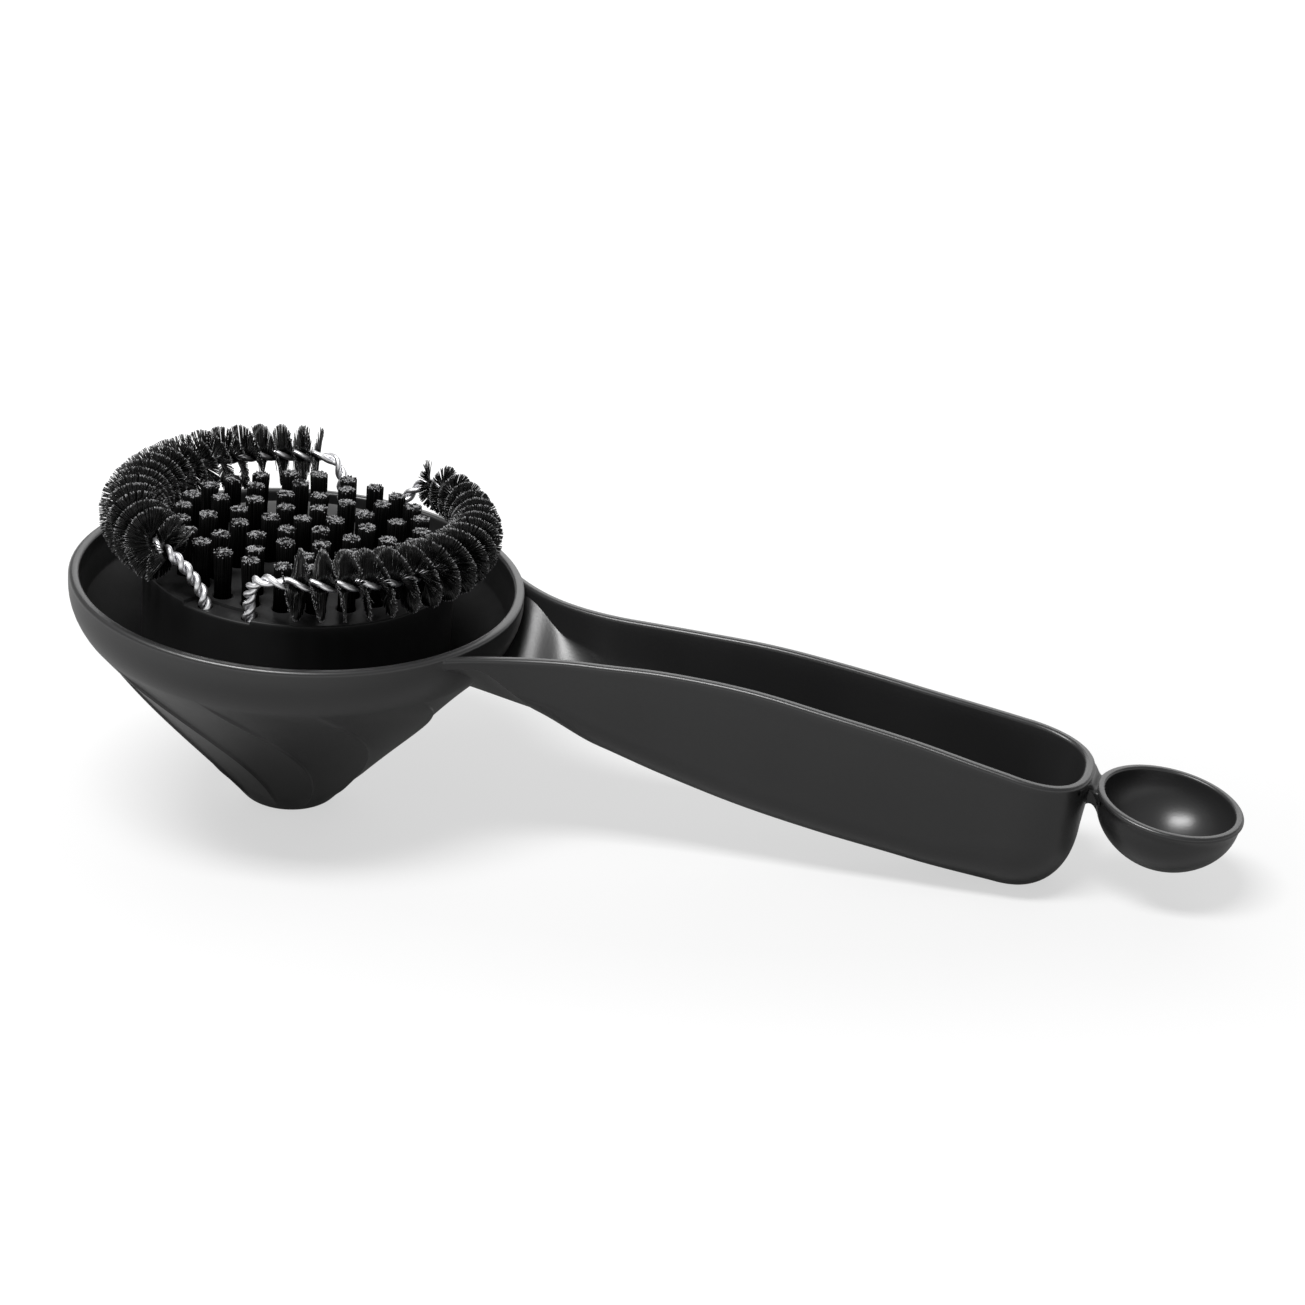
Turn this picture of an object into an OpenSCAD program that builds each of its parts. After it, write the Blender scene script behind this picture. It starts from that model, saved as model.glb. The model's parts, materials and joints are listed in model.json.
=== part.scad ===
// Coffee cleaning brush: a conical splash bowl with an open trough handle and a
// measuring scoop in one moulding, a round brush carrier seated in the bowl, 55
// bristle tufts, and two C-shaped twisted-wire brushes round the carrier.
// The bowl's rim plane and axis are the working frame. The last step, at_rest(),
// tips everything onto the bowl's tip and the trough's heel, as it lies on a table.

/* [Bowl] */
// Radius of the bowl at its rim
bowl_r = 42.4; // [41:0.1:46]
// Depth of the bowl from its rim plane to its tip
bowl_depth = 46.6; // [42:0.1:50]
// Slope of the cone wall: growth of its radius for each mm of height
cone_slope = 0.845; // [0.8:0.005:0.9]
// How far outside the rim the cone wall would end, if it were drawn on to the rim plane
cone_over = 5.65; // [5:0.05:6.3]
// Wall thickness of the bowl, measured level
bowl_wall = 2.6; // [2:0.1:3.2]
// Thickness of the rim lip
lip_w = 2.0; // [1.6:0.1:2.6]
// Edge rounding of the tip
tip_round = 2.5; // [1:0.1:4]

/* [Swirl] */
// Number of spiral steps round the cone
swirl_n = 12; // [6:1:16]
// Height of each spiral step
swirl_step = 0.6; // [0.3:0.05:0.9]
// Depth of the hollow between two steps
swirl_flute = 0.36; // [0.1:0.02:0.5]
// Angle that a step runs round the cone from top to bottom
swirl_turn = 44; // [20:1:60]
// Angle of the first step at the top of the cone
swirl_start = -62; // [-75:1:-45]

/* [Trough handle] */
// Wall thickness of the trough
trough_wall = 1.9; // [1.5:0.1:2.4]
// Rounding of the trough's rim edges
rim_round = 0.7; // [0.3:0.05:0.8]
// Distance from the bowl's axis to the centre of the trough's round end
trough_end = 138.5; // [132:0.1:150]
// Half width of the trough at its round end
trough_end_r = 12.7; // [11.9:0.1:13.3]
// Half width of the trough at its waist
trough_waist = 10.85; // [10:0.05:11.6]
// Depth of the keel under the rim plane, at the trough's heel
keel_depth = 28.2; // [26:0.1:30]
// Inward draft of the trough walls for each mm of depth
draft = 0.06; // [0.03:0.005:0.08]
// Height of the low side wall where the trough leaves the bowl
low_wall = 1.9; // [1.4:0.1:3]

/* [Scoop] */
// Outer radius of the scoop's rim
scoop_r = 13; // [11.5:0.1:13.5]
// How far the scoop's rim flares out past its wall
scoop_flare = 0.4; // [0.2:0.05:0.6]
// Depth of the scoop, from its rim to its underside
scoop_depth = 12.6; // [10.5:0.1:14]
// Thickness of the scoop's rim
scoop_wall = 1.5; // [1.4:0.1:2]
// Gap between the trough's end and the scoop's rim
scoop_gap = 0.8; // [0.6:0.1:2.5]
// Drop of the scoop's rim below the trough's rim end
scoop_drop = 2.4; // [1.5:0.05:3]
// Tilt of the scoop, downward away from the bowl
scoop_tilt = 2.6; // [0:0.1:6]

/* [Brush carrier] */
// Radius of the carrier
carrier_r = 29; // [28.6:0.1:29.4]
// Height of the carrier's top above the rim plane
carrier_top = 2.6; // [2:0.1:3.4]
// Thickness of the carrier's top, which holds the tufts
carrier_plate = 9; // [8:0.1:10]
// Thickness of the carrier's skirt
carrier_skirt = 2.6; // [2:0.1:3.2]
// Radial clearance of the carrier in the bowl
carrier_clear = 0.35; // [0.2:0.05:0.5]
// Depth of the step in the carrier's edge between the front wire feet
carrier_step = 0.65; // [0.3:0.05:0.9]

/* [Tufts] */
// Radius of one tuft
tuft_r = 1.6; // [1.3:0.05:1.7]
// Height of the tufts above the carrier
tuft_h = 8.9; // [7:0.1:10]
// Depth of the tuft holes
tuft_hole = 6; // [4:0.1:7]
// Clearance of a tuft in its hole, on the radius
tuft_clear = 0.1; // [0.05:0.05:0.2]
// Turn of the whole tuft pattern
tuft_turn = 25; // [20:1:30]
// Distance from the outer ring of tufts to the circle of the wires' feet
tuft_gap = 4.7; // [4.6:0.1:6]

/* [Wire brushes] */
// Radius of one strand of the wire
strand_r = 0.53; // [0.45:0.01:0.56]
// Radius of the helix that each strand runs on
strand_off = 0.67; // [0.65:0.01:0.72]
// Radius of the C that the wire follows
ring_r = 30.8; // [30.4:0.1:31.4]
// Height of the wire above the carrier's top
ring_h = 8.9; // [8.4:0.1:10]
// Radius on which the wire's feet stand
foot_r = 27; // [26.8:0.1:27.2]
// Radius of a foot hole
foot_hole_r = 1.35; // [1.3:0.05:1.5]
// Depth of a foot hole
foot_hole = 3.2; // [2.5:0.1:5]
// Reach of the bristles from the wire
bristle_r = 6.5; // [5.5:0.1:6.7]
// Thickness of the bristle flight at its tips
bristle_t = 0.6; // [0.4:0.05:0.8]
// Length of wire in half a turn, where the wire holds bristles
half_turn = 4.0; // [3.6:0.1:5]
// Length of wire in half a turn, in the feet
foot_half_turn = 2.4; // [2:0.1:3]

/* [Hidden] */
$fn = 96;
// Rings of tufts: how many, the ring's share of the outer ring's radius, first angle.
TUFT_RINGS = [[1, 0, 0], [6, 0.27, 0], [12, 0.54, 15], [12, 0.78, 0], [24, 1, 5]];
FRONT_FEET = [-86, -105];
BACK_FEET = [72, -265];
RING_SHIFT = [[1.3, 0.3, 0], [0.2, 0, 0]];
SHOULDER = [[1.0, 0], [3.0, 0.06], [4.3, 0.22], [5.6, 0.5], [7.0, 0.98], [8.3, 1.72], [9.5, 2.4]];
FLARE_END = 62;
cone_r = bowl_r + cone_over;
swirl_end = bowl_depth - tip_round * (1 - sin(atan(cone_slope))) - 0.7;
tuft_ring_r = foot_r - tuft_gap;
scoop_x = trough_end + trough_end_r + scoop_gap + scoop_r;
seat_z = (carrier_r + carrier_clear + bowl_wall - cone_r) / cone_slope;
seat_in = carrier_r - carrier_skirt + 0.6;

function mix(a, b, t) = a + (b - a) * t;
function clamp01(t) = min(1, max(0, t));
function ease(a, b, x) = let (t = clamp01((x - a) / (b - a))) t * t * (3 - 2 * t);
function unit(v) = v / norm(v);
function polar(r, a, z) = [r * cos(a), r * sin(a), z];
function spline(p, t) =
    let (n = len(p) - 1, i = min(n - 1, max(0, floor(t))), f = t - i,
         a = p[max(0, i - 1)], b = p[i], c = p[i + 1], d = p[min(n, i + 2)])
    0.5 * (2 * b + (c - a) * f + (2 * a - 5 * b + 4 * c - d) * f * f
        + (3 * b - a - 3 * c + d) * f * f * f);
function arc(cx, cz, r, a0, a1, n) =
    [for (i = [0:n]) let (a = mix(a0, a1, i / n)) [cx + r * cos(a), cz + r * sin(a)]];

// A grid of points, closed round each row and capped at both ends, as polyhedron faces.
function tube_faces(rows, cols) = concat(
    [[for (i = [0:cols - 1]) i]],
    [for (j = [0:rows - 2], i = [0:cols - 1]) let (k = (i + 1) % cols)
        each [[j * cols + i, (j + 1) * cols + i, (j + 1) * cols + k],
              [j * cols + i, (j + 1) * cols + k, j * cols + k]]],
    [[for (i = [cols - 1:-1:0]) (rows - 1) * cols + i]]);

// Bowl

function cone_at(z) = cone_r + cone_slope * z;
function inner_at(z) = cone_at(z) - bowl_wall;

// Outside of the bowl: lip, rounded shoulder, cone and tip. The cone part lies just
// inside the swirl solid, which makes the visible surface there.
module bowl_solid() {
    lean = atan(cone_slope);
    tip_z = -bowl_depth + tip_round;
    tip_x = cone_at(tip_z) - tip_round / cos(lean);
    rotate_extrude()
        polygon(concat(
            [[0, -bowl_depth]],
            arc(tip_x, tip_z, tip_round, -90, -lean, 5),
            [[cone_at(-swirl_end - 0.3), -swirl_end - 0.3], [cone_at(-swirl_end + 0.4) - 0.7, -swirl_end + 0.4],
             [cone_at(-9.9) - 0.7, -9.9]],
            [for (i = [len(SHOULDER) - 1:-1:0]) [bowl_r - SHOULDER[i][1], -SHOULDER[i][0]]],
            arc(bowl_r - 0.8, -0.8, 0.8, 22, 90, 3),
            [[0, 0]]));
}

// Inside of the bowl: it follows the outside down to the ledge that carries the brush.
module bowl_hollow() {
    low = -bowl_depth + bowl_wall + 0.6;
    rotate_extrude()
        polygon(concat(
            [[0, 4], [bowl_r - lip_w + 0.7, 4]],
            [for (p = arc(bowl_r - lip_w + 0.7, -0.7, 0.7, 90, 180, 4)) p],
            [[bowl_r - lip_w - 0.15, -2.6], [bowl_r - lip_w - 0.7, -5],
             [inner_at(-7.4), -7.4],
             [inner_at(seat_z), seat_z], [seat_in, seat_z],
             [inner_at(seat_z - 8), seat_z - 8], [inner_at(low), low], [0, low]]));
}

// Each panel of the swirl is a shallow hollow that rises to its far edge and drops there
// to the next panel. u is the share of the panel's width, and z fades it in and out.
function panel_h(s) = swirl_step * s * s - 4 * swirl_flute * s * (1 - s);
function step_h(u, z) = panel_h(u / 0.95) * ease(9, 14.5, -z) * ease(swirl_end, swirl_end - 4.5, -z);
function swirl_shift(z) = swirl_turn * (1 - pow(1 - clamp01((-z - 9.5) / (swirl_end - 10)), 1.6));
SWIRL_U = [0, 0.2, 0.4, 0.6, 0.8, 0.95];
SWIRL_Z = concat([-swirl_end - 0.5], [for (i = [15:-1:0]) mix(-9.8, -swirl_end, i / 15)], [-9]);
function swirl_r(u, z) = cone_at(z) + step_h(u, z) - (z > -9.4 || z < -swirl_end - 0.1 ? 0.9 : 0);

module swirl_solid() {
    cols = swirl_n * len(SWIRL_U);
    points = [for (z = SWIRL_Z, i = [0:cols - 1])
        let (u = SWIRL_U[i % len(SWIRL_U)], k = floor(i / len(SWIRL_U)))
        polar(swirl_r(u, z), swirl_start + swirl_shift(z) + (k + u) * 360 / swirl_n, z)];
    polyhedron(points = points, faces = tube_faces(len(SWIRL_Z), cols));
}

// Trough

// Design heights and half widths at nine even stations along the trough.
STATION_0 = 30;
STATION_STEP = (trough_end - STATION_0) / 7.233;
RIM = [-0.3, -0.65, 0.1, 1.25, 1.65, 0.75, -0.55, -2.15, -3.7];
KEEL = [0.53, 0.588, 0.658, 0.787, 0.88, 0.93, 0.96, 0.985, 0.99];
WIDEN = [0.8, 0.8, 0.75, 0, 0.1, 0.5, 0.65, 1.4, 1.55];
function station(x) = (x - STATION_0) / STATION_STEP;
function rim_z(x) = spline(RIM, station(x));
function keel_z(x) = -keel_depth * spline(KEEL, station(x));
function waist_w(x) = trough_waist + spline(WIDEN, station(x)) * (trough_end_r - trough_waist) / 1.55;

// Half of the rim's outline from the bowl to the round end: a curve that leaves the
// bowl's rim, a waist, then the widening to the end.
LEAVE = [(bowl_r - 0.57) * cos(32.7), (bowl_r - 0.57) * sin(32.7)];
FLARE = [LEAVE, LEAVE + [4.8, -4.4], [mix(LEAVE[0], FLARE_END, 0.515), 12.4], [FLARE_END, waist_w(FLARE_END)]];
function bezier(p, t) = p[0] * pow(1 - t, 3) + 3 * p[1] * t * pow(1 - t, 2)
    + 3 * p[2] * t * t * (1 - t) + p[3] * t * t * t;
HALF_OUTLINE = concat(
    [[(bowl_r - 1.85) * cos(41), (bowl_r - 1.85) * sin(41)]],
    [for (i = [0:9]) bezier(FLARE, i / 10)],
    [for (i = [0:11]) let (x = mix(FLARE_END, trough_end, i / 12)) [x, waist_w(x)]]);
// The round end is a little fuller than half a circle.
function full(c) = sign(c) * pow(abs(c), 0.84);
NOSE = [for (i = [0:12]) let (a = 90 - i * 15)
    [trough_end + trough_end_r * (i == 0 || i == 12 ? 0 : full(cos(a))), trough_end_r * full(sin(a))]];
OUTLINE = concat(
    [for (p = HALF_OUTLINE) [p[0], -p[1]]],
    [for (i = [12:-1:0]) NOSE[i]],
    [for (i = [len(HALF_OUTLINE) - 1:-1:0]) HALF_OUTLINE[i]]);
OUT_N = len(OUTLINE);
OUT_K = len(HALF_OUTLINE);
function outline_normal(i) =
    (i == 0 || i == OUT_N - 1) ? [0, sign(OUTLINE[i][1])]
    : let (t = unit(OUTLINE[i + 1] - OUTLINE[i - 1])) [t[1], -t[0]];

// Height of the rounded bottom corner, and its fullness, along the handle. Near the bowl
// the side wall is a low band over a flat slope, with a crease between them. The wall
// deepens quickly from there, and the crease turns into the rounded corner.
function corner_h(x) = 8.6 + 4.4 * ease(trough_end - 16, trough_end, x);
function corner_q(x) = mix(2, 0.86, ease(45, 63, x));
function wall_h(x, deep) = mix(low_wall, max(low_wall, deep - corner_h(x)), ease(41, 50.5, x));

// One skin of the trough. inset moves it inward from the outline; the outer skin has
// its rim edge rounded off, and the inner one opens upward through a rounded edge.
function skin_rows(inner) = inner ? 14 : 13;
function skin_point(i, j, inset, inner) =
    let (p = OUTLINE[i], n = outline_normal(i), cx = min(p[0], trough_end),
         zr = rim_z(p[0]), zk = keel_z(cx) + inset, hc = wall_h(cx, zr - zk),
         r = rim_round, top = inner ? 4 : 3,
         edge = inner ? [[inset - r, 3], [inset - r, 0], [inset - r * 0.29, -r * 0.29], [inset, -r]]
                      : [[r, 0], [r * 0.29, -r * 0.29], [0, -r]])
    j < top ? let (e = edge[j]) [p[0] - n[0] * e[0], p[1] - n[1] * e[0], zr + e[1]]
    : let (k = j - top)
      k < 3 ? let (d = mix(r, hc, (k + 1) / 3), s = inset + draft * d)
          [p[0] - n[0] * s, p[1] - n[1] * s, zr - d]
      : let (a = (k - 2) * 90 / 8, q = corner_q(cx), s = inset + draft * hc,
             w = [p[0] - n[0] * s, p[1] - n[1] * s], c = [cx, 0],
             m = c + (w - c) * pow(cos(a), q))
          [m[0], m[1], mix(zr - hc, zk, pow(sin(a), q))];

module trough_skin(inset, inner) {
    rows = skin_rows(inner);
    spine = rows * OUT_N;
    half = (OUT_N - 1) / 2;
    function at(i, j) = j * OUT_N + i;
    function keel(i) = spine + min(i, OUT_K, OUT_N - 1 - i);
    points = concat(
        [for (j = [0:rows - 1], i = [0:OUT_N - 1]) skin_point(i, j, inset, inner)],
        [for (i = [0:OUT_K]) let (x = min(OUTLINE[i][0], trough_end)) [x, 0, keel_z(x) + inset]]);
    faces = concat(
        [for (j = [0:rows - 2], i = [0:OUT_N - 2])
            each [[at(i, j), at(i + 1, j + 1), at(i, j + 1)], [at(i, j), at(i + 1, j), at(i + 1, j + 1)]]],
        [for (i = [0:OUT_N - 2]) let (a = keel(i), b = keel(i + 1), j = rows - 1)
            each (a == b ? [[at(i, j), at(i + 1, j), a]]
                         : [[at(i, j), b, a], [at(i, j), at(i + 1, j), b]])],
        [for (i = [0:half - 2])
            each [[at(i, 0), at(OUT_N - 2 - i, 0), at(i + 1, 0)],
                  [at(i, 0), at(OUT_N - 1 - i, 0), at(OUT_N - 2 - i, 0)]]],
        [[at(half - 1, 0), at(half + 1, 0), at(half, 0)]],
        [for (j = [0:rows - 2])
            each [[at(0, j), at(OUT_N - 1, j + 1), at(OUT_N - 1, j)],
                  [at(0, j), at(0, j + 1), at(OUT_N - 1, j + 1)]]],
        [[at(0, rows - 1), spine, at(OUT_N - 1, rows - 1)]]);
    polyhedron(points = points, faces = faces);
}

// Scoop

scoop_z = rim_z(trough_end + trough_end_r) - scoop_drop;
// Round-bottomed wall curve of the scoop, from its rim band down to the middle.
function scoop_profile(r, h, band) =
    [for (i = [0:9]) let (a = 90 - i * 10) [i == 0 ? 0 : r * pow(cos(a), 1.13), -band - (h - band) * sin(a)]];

module scoop_place() {
    translate([scoop_x, 0, scoop_z]) rotate([0, scoop_tilt, 0]) children();
}

module scoop_solid() {
    scoop_place() rotate_extrude()
        polygon(concat(
            scoop_profile(scoop_r - scoop_flare, scoop_depth, 1.6),
            arc(scoop_r - 0.6, -0.6, 0.6, -20, 90, 4),
            [[0, 0]]));
}

module scoop_hollow() {
    inner_r = scoop_r - scoop_wall;
    scoop_place() rotate_extrude()
        polygon(concat(
            scoop_profile(inner_r, scoop_depth - scoop_wall, 1.2),
            [for (p = arc(inner_r + 0.5, -0.5, 0.5, 180, 90, 3)) p],
            [[inner_r + 0.5, 4], [0, 4]]));
}

// Short waisted link that slopes from the trough's rim to the scoop's, with a thin
// arched rib under it. Its plan is cut by its side view.
module neck() {
    nose_x = trough_end + trough_end_r;
    x0 = nose_x - 1.5;
    x1 = scoop_x - scoop_r + 1.3;
    z0 = rim_z(nose_x) - 0.3;
    z1 = scoop_z + scoop_r * sin(scoop_tilt) - 0.3;
    thick = 2;
    plan = [for (i = [0:10]) let (t = i / 10)
        [mix(x0, x1, t), 3.6 + (t < 0.6 ? 4.1 * pow(1 - t / 0.6, 2) : 2.1 * pow((t - 0.6) / 0.4, 2))]];
    arch = [for (i = [0:6]) let (t = i / 6) [mix(x0, x1, t), z1 - 4.2 - 2 * pow(2 * t - 1, 2)]];
    intersection() {
        translate([0, 0, z1 - 10])
            linear_extrude(20)
                polygon(concat(plan, [for (i = [10:-1:0]) [plan[i][0], -plan[i][1]]]));
        rotate([90, 0, 0])
            translate([0, 0, -10])
                linear_extrude(20)
                    polygon([[x0 - 1, z0], [nose_x, z0], [x1, z1], [x1, z1 - thick], [nose_x, z0 - thick],
                             [x0 - 1, z0 - thick]]);
    }
    rotate([90, 0, 0])
        translate([0, 0, -0.8])
            linear_extrude(1.6)
                polygon(concat([[x0, z0 - 0.5]], arch, [[x1, z1 - 0.5]]));
}

module handle_body() {
    color([0.2, 0.2, 0.21]) at_rest()
        difference() {
            union() {
                bowl_solid();
                swirl_solid();
                difference() {
                    trough_skin(0, false);
                    trough_skin(trough_wall, true);
                }
                scoop_solid();
                neck();
            }
            bowl_hollow();
            scoop_hollow();
        }
}

// Brush carrier

function tuft_place(ring, i) =
    let (g = TUFT_RINGS[ring]) polar(g[1] * tuft_ring_r, tuft_turn + g[2] + i * 360 / g[0], 0);

module carrier_edge_step() {
    rotate([0, 0, FRONT_FEET[1] - 7])
        translate([0, 0, carrier_top - carrier_step])
            rotate_extrude(angle = FRONT_FEET[0] - FRONT_FEET[1] + 9)
                translate([foot_r - 2, 0]) square([6, 4]);
}

module brush_base() {
    color([0.07, 0.07, 0.075]) at_rest()
        difference() {
            rotate_extrude()
                polygon(concat(
                    [[0, carrier_top - carrier_plate], [carrier_r - carrier_skirt, carrier_top - carrier_plate],
                     [carrier_r - carrier_skirt, seat_z], [carrier_r - 0.3, seat_z],
                     [carrier_r, seat_z + 0.3]],
                    arc(carrier_r - 0.4, carrier_top - 0.4, 0.4, 0, 90, 3),
                    [[0, carrier_top]]));
            carrier_edge_step();
            for (g = [0:len(TUFT_RINGS) - 1], i = [0:TUFT_RINGS[g][0] - 1])
                translate(tuft_place(g, i) + [0, 0, carrier_top - tuft_hole])
                    cylinder(r = tuft_r + tuft_clear, h = tuft_hole + 1);
            for (a = concat(FRONT_FEET, BACK_FEET))
                translate(polar(foot_r, a, carrier_top - foot_hole))
                    cylinder(r = foot_hole_r, h = foot_hole + 1);
        }
}

// Tufts

module tuft_ring(ring) {
    color([0.3, 0.3, 0.31]) at_rest()
        for (i = [0:TUFT_RINGS[ring][0] - 1])
            translate(tuft_place(ring, i) + [0, 0, carrier_top - tuft_hole])
                cylinder(r = tuft_r, h = tuft_hole + tuft_h, $fn = 20);
}

module tuft_centre() { tuft_ring(0); }
module tufts_ring_1() { tuft_ring(1); }
module tufts_ring_2() { tuft_ring(2); }
module tufts_ring_3() { tuft_ring(3); }
module tufts_ring_4() { tuft_ring(4); }

// Wire brushes

wire_z = carrier_top + ring_h;
foot_z = carrier_top - foot_hole + 0.2;
// Points of a wire from foot to foot: side 1 runs right of the front gap and side -1
// left of it. Each row is the angle past the foot, the share of the way out from
// the feet to the C, and the share of the way up.
RISE = [[[0, 0, 0.18], [0, 0.05, 0.36], [0.4, 0.28, 0.62], [2.2, 0.62, 0.88], [6.2, 0.9, 1], [11, 1, 1]],
        [[1.6, 0, 0.2], [4.6, 0.1, 0.42], [8.2, 0.4, 0.7], [12.5, 0.75, 0.92], [17, 0.97, 1], [21.5, 1, 1]]];
FALL = [[1, 0, 0.2], [2, 0.15, 0.42], [3.4, 0.45, 0.72], [6, 0.78, 0.95], [10, 0.97, 1]];
function wire_point(w, a, out, up) =
    polar(mix(foot_r, ring_r, out), a, mix(carrier_top, wire_z, up)) + RING_SHIFT[w] * out;
function wire_path(side) =
    let (w = side > 0 ? 0 : 1, a0 = FRONT_FEET[w], a1 = BACK_FEET[w],
         up = RISE[w], first = a0 + side * up[5][0], last = a1 - side * FALL[4][0], n = 11)
    concat(
        [polar(foot_r, a0, foot_z), polar(foot_r, a0, carrier_top)],
        [for (g = up) wire_point(w, a0 + side * g[0], g[1], g[2])],
        [for (i = [1:n - 1]) wire_point(w, mix(first, last, i / n), 1, 1)],
        [for (i = [4:-1:0]) let (g = FALL[i]) wire_point(w, a1 - side * g[0], g[1], g[2])],
        [polar(foot_r, a1, carrier_top), polar(foot_r, a1, foot_z)]);

// The path walked at even angles of twist. Each stop holds [path parameter, twist].
// The twist is tight in the feet and looser where the wire holds bristles.
WIRE_FIRST = 7;
WIRE_LAST = 17.7;
// For each brush: where its bristles end on the path, and between which two places they
// are trimmed shorter toward that end, by which share.
TRIM = [[18.9, 11.5, 16, 0.28],[WIRE_LAST, WIRE_LAST - 3.4, WIRE_LAST, 0.08]];
function twist_rate(t) =
    let (loose = ease(WIRE_FIRST - 2, WIRE_FIRST, t) * ease(WIRE_LAST + 3, WIRE_LAST + 1, t))
    180 / mix(foot_half_turn, half_turn, loose);
function walk(p, t, twist, turn) =
    t >= len(p) - 1 ? [[len(p) - 1, twist]]
    : let (speed = norm(spline(p, t + 0.05) - spline(p, t - 0.05)) / 0.1,
           next = t + turn / twist_rate(t) / speed)
      concat([[t, twist]], walk(p, next, twist + turn, turn));
function frame_at(p, t) =
    let (c = spline(p, t), f = unit(spline(p, min(len(p) - 1, t + 0.02)) - spline(p, max(0, t - 0.02))),
         e = unit([c[0], c[1], 0]), u = unit(e - f * (e * f)))
    [c, u, cross(f, u)];

// A section swept along a wire. Each stop's third value scales the section.
module swept(p, stops, section, phase) {
    m = len(section);
    points = [for (s = stops) let (fr = frame_at(p, s[0]), a = s[1] + phase, k = len(s) > 2 ? s[2] : 1)
        each [for (q = section)
            fr[0] + k * (fr[1] * (q[0] * cos(a) - q[1] * sin(a)) + fr[2] * (q[0] * sin(a) + q[1] * cos(a)))]];
    polyhedron(points = points, faces = tube_faces(len(stops), m));
}

module strand(side, half) {
    p = wire_path(side);
    section = [for (i = [0:4]) [strand_off + strand_r * cos(i * 72), strand_r * sin(i * 72)]];
    color([0.75, 0.75, 0.77]) at_rest()
        swept(p, walk(p, 0, 0, 40), section, half * 180 + 90);
}

module bristles(side) {
    p = wire_path(side);
    waist = 0.03;
    edge = bristle_r * PI / half_turn * bristle_t / 2;
    section = [[bristle_r, edge], [0, waist], [-bristle_r, edge],
               [-bristle_r, -edge], [0, -waist], [bristle_r, -edge]];
    trim = TRIM[side > 0 ? 0 : 1];
    stops = [for (s = walk(p, 0, 0, 20)) if (s[0] >= WIRE_FIRST && s[0] <= trim[0])
        [s[0], s[1], 1 - trim[3] * ease(trim[1], trim[2], s[0])]];
    color([0.1, 0.1, 0.105]) at_rest() swept(p, stops, section, 0);
}

module bristles_right() { bristles(1); }
module bristles_left() { bristles(-1); }
module wire_right_a() { strand(1, 0); }
module wire_right_b() { strand(1, 1); }
module wire_left_a() { strand(-1, 0); }
module wire_left_b() { strand(-1, 1); }

// Rest on a table: the line that touches the tip's rounded edge and the heel from below.

tip_cz = -bowl_depth + tip_round;
tip_cx = cone_at(tip_cz) - tip_round / cos(atan(cone_slope));
UNDERSIDE = concat(
    [for (p = HALF_OUTLINE) if (p[0] > FLARE_END) [p[0], keel_z(p[0])]],
    [[trough_end, keel_z(trough_end)]],
    [for (j = [skin_rows(false) - 1:-1:3]) let (p = skin_point((OUT_N - 1) / 2, j, 0, false)) [p[0], p[2]]]);
function support(p) = let (d = p - [tip_cx, tip_cz]) atan2(d[1], d[0]) + asin(tip_round / norm(d));
rest_tilt = min([for (p = UNDERSIDE) support(p)]);
rest_drop = -tip_cx * sin(rest_tilt) + tip_cz * cos(rest_tilt) - tip_round;
left_x = -(bowl_r - 0.8) * cos(rest_tilt) - 0.8 * sin(rest_tilt) - 0.8;
right_x = scoop_x * cos(rest_tilt) + scoop_z * sin(rest_tilt) + scoop_r;
rest_x = -(left_x + right_x) / 2;

module at_rest() {
    translate([rest_x, 0, -rest_drop]) rotate([0, rest_tilt, 0]) children();
}

handle_body();
brush_base();
tuft_centre();
tufts_ring_1();
tufts_ring_2();
tufts_ring_3();
tufts_ring_4();
bristles_right();
bristles_left();
wire_right_a();
wire_right_b();
wire_left_a();
wire_left_b();
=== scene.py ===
# %% [markdown]
# # A brush that cleans the head of a coffee machine
#
# The real tool is one black moulding, a conical splash bowl with an open trough for a
# handle and a small scoop on its end, and a round brush that sits in the bowl. The brush
# has 55 tufts of nylon and two C-shaped brushes of twisted wire round them. The packed
# CAD model comes first, because every piece that is made here has to lie on it.

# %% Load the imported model
import json
import math

import bpy
import numpy as np
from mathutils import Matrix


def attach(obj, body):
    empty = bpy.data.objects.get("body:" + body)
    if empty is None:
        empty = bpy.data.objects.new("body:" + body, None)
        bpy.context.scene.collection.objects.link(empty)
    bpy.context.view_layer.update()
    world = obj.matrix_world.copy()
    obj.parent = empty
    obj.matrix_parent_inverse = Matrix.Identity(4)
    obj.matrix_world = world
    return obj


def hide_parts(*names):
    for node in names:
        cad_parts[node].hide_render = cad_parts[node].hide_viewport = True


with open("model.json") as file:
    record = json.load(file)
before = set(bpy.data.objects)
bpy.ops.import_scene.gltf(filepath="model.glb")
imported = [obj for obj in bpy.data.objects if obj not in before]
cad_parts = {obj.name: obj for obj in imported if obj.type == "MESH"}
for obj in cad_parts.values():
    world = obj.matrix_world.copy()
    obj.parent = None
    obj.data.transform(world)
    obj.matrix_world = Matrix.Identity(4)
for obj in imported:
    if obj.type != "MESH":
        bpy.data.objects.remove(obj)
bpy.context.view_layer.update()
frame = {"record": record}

# %% [markdown]
# ## One set of axes for the whole tool
#
# The tool lies tilted, on the tip of its cone and the heel of its trough. Shapes are far
# easier to write in the tool's own axes: the origin in the middle of the bowl's rim, x
# along the handle and z out of the bowl. The record's mount on the cone's flat tip gives
# the tilt and the place, so nothing has to be fitted by eye.

# %% The tool's own axes
MM = 0.001
BOWL_DEPTH = 46.6

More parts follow.
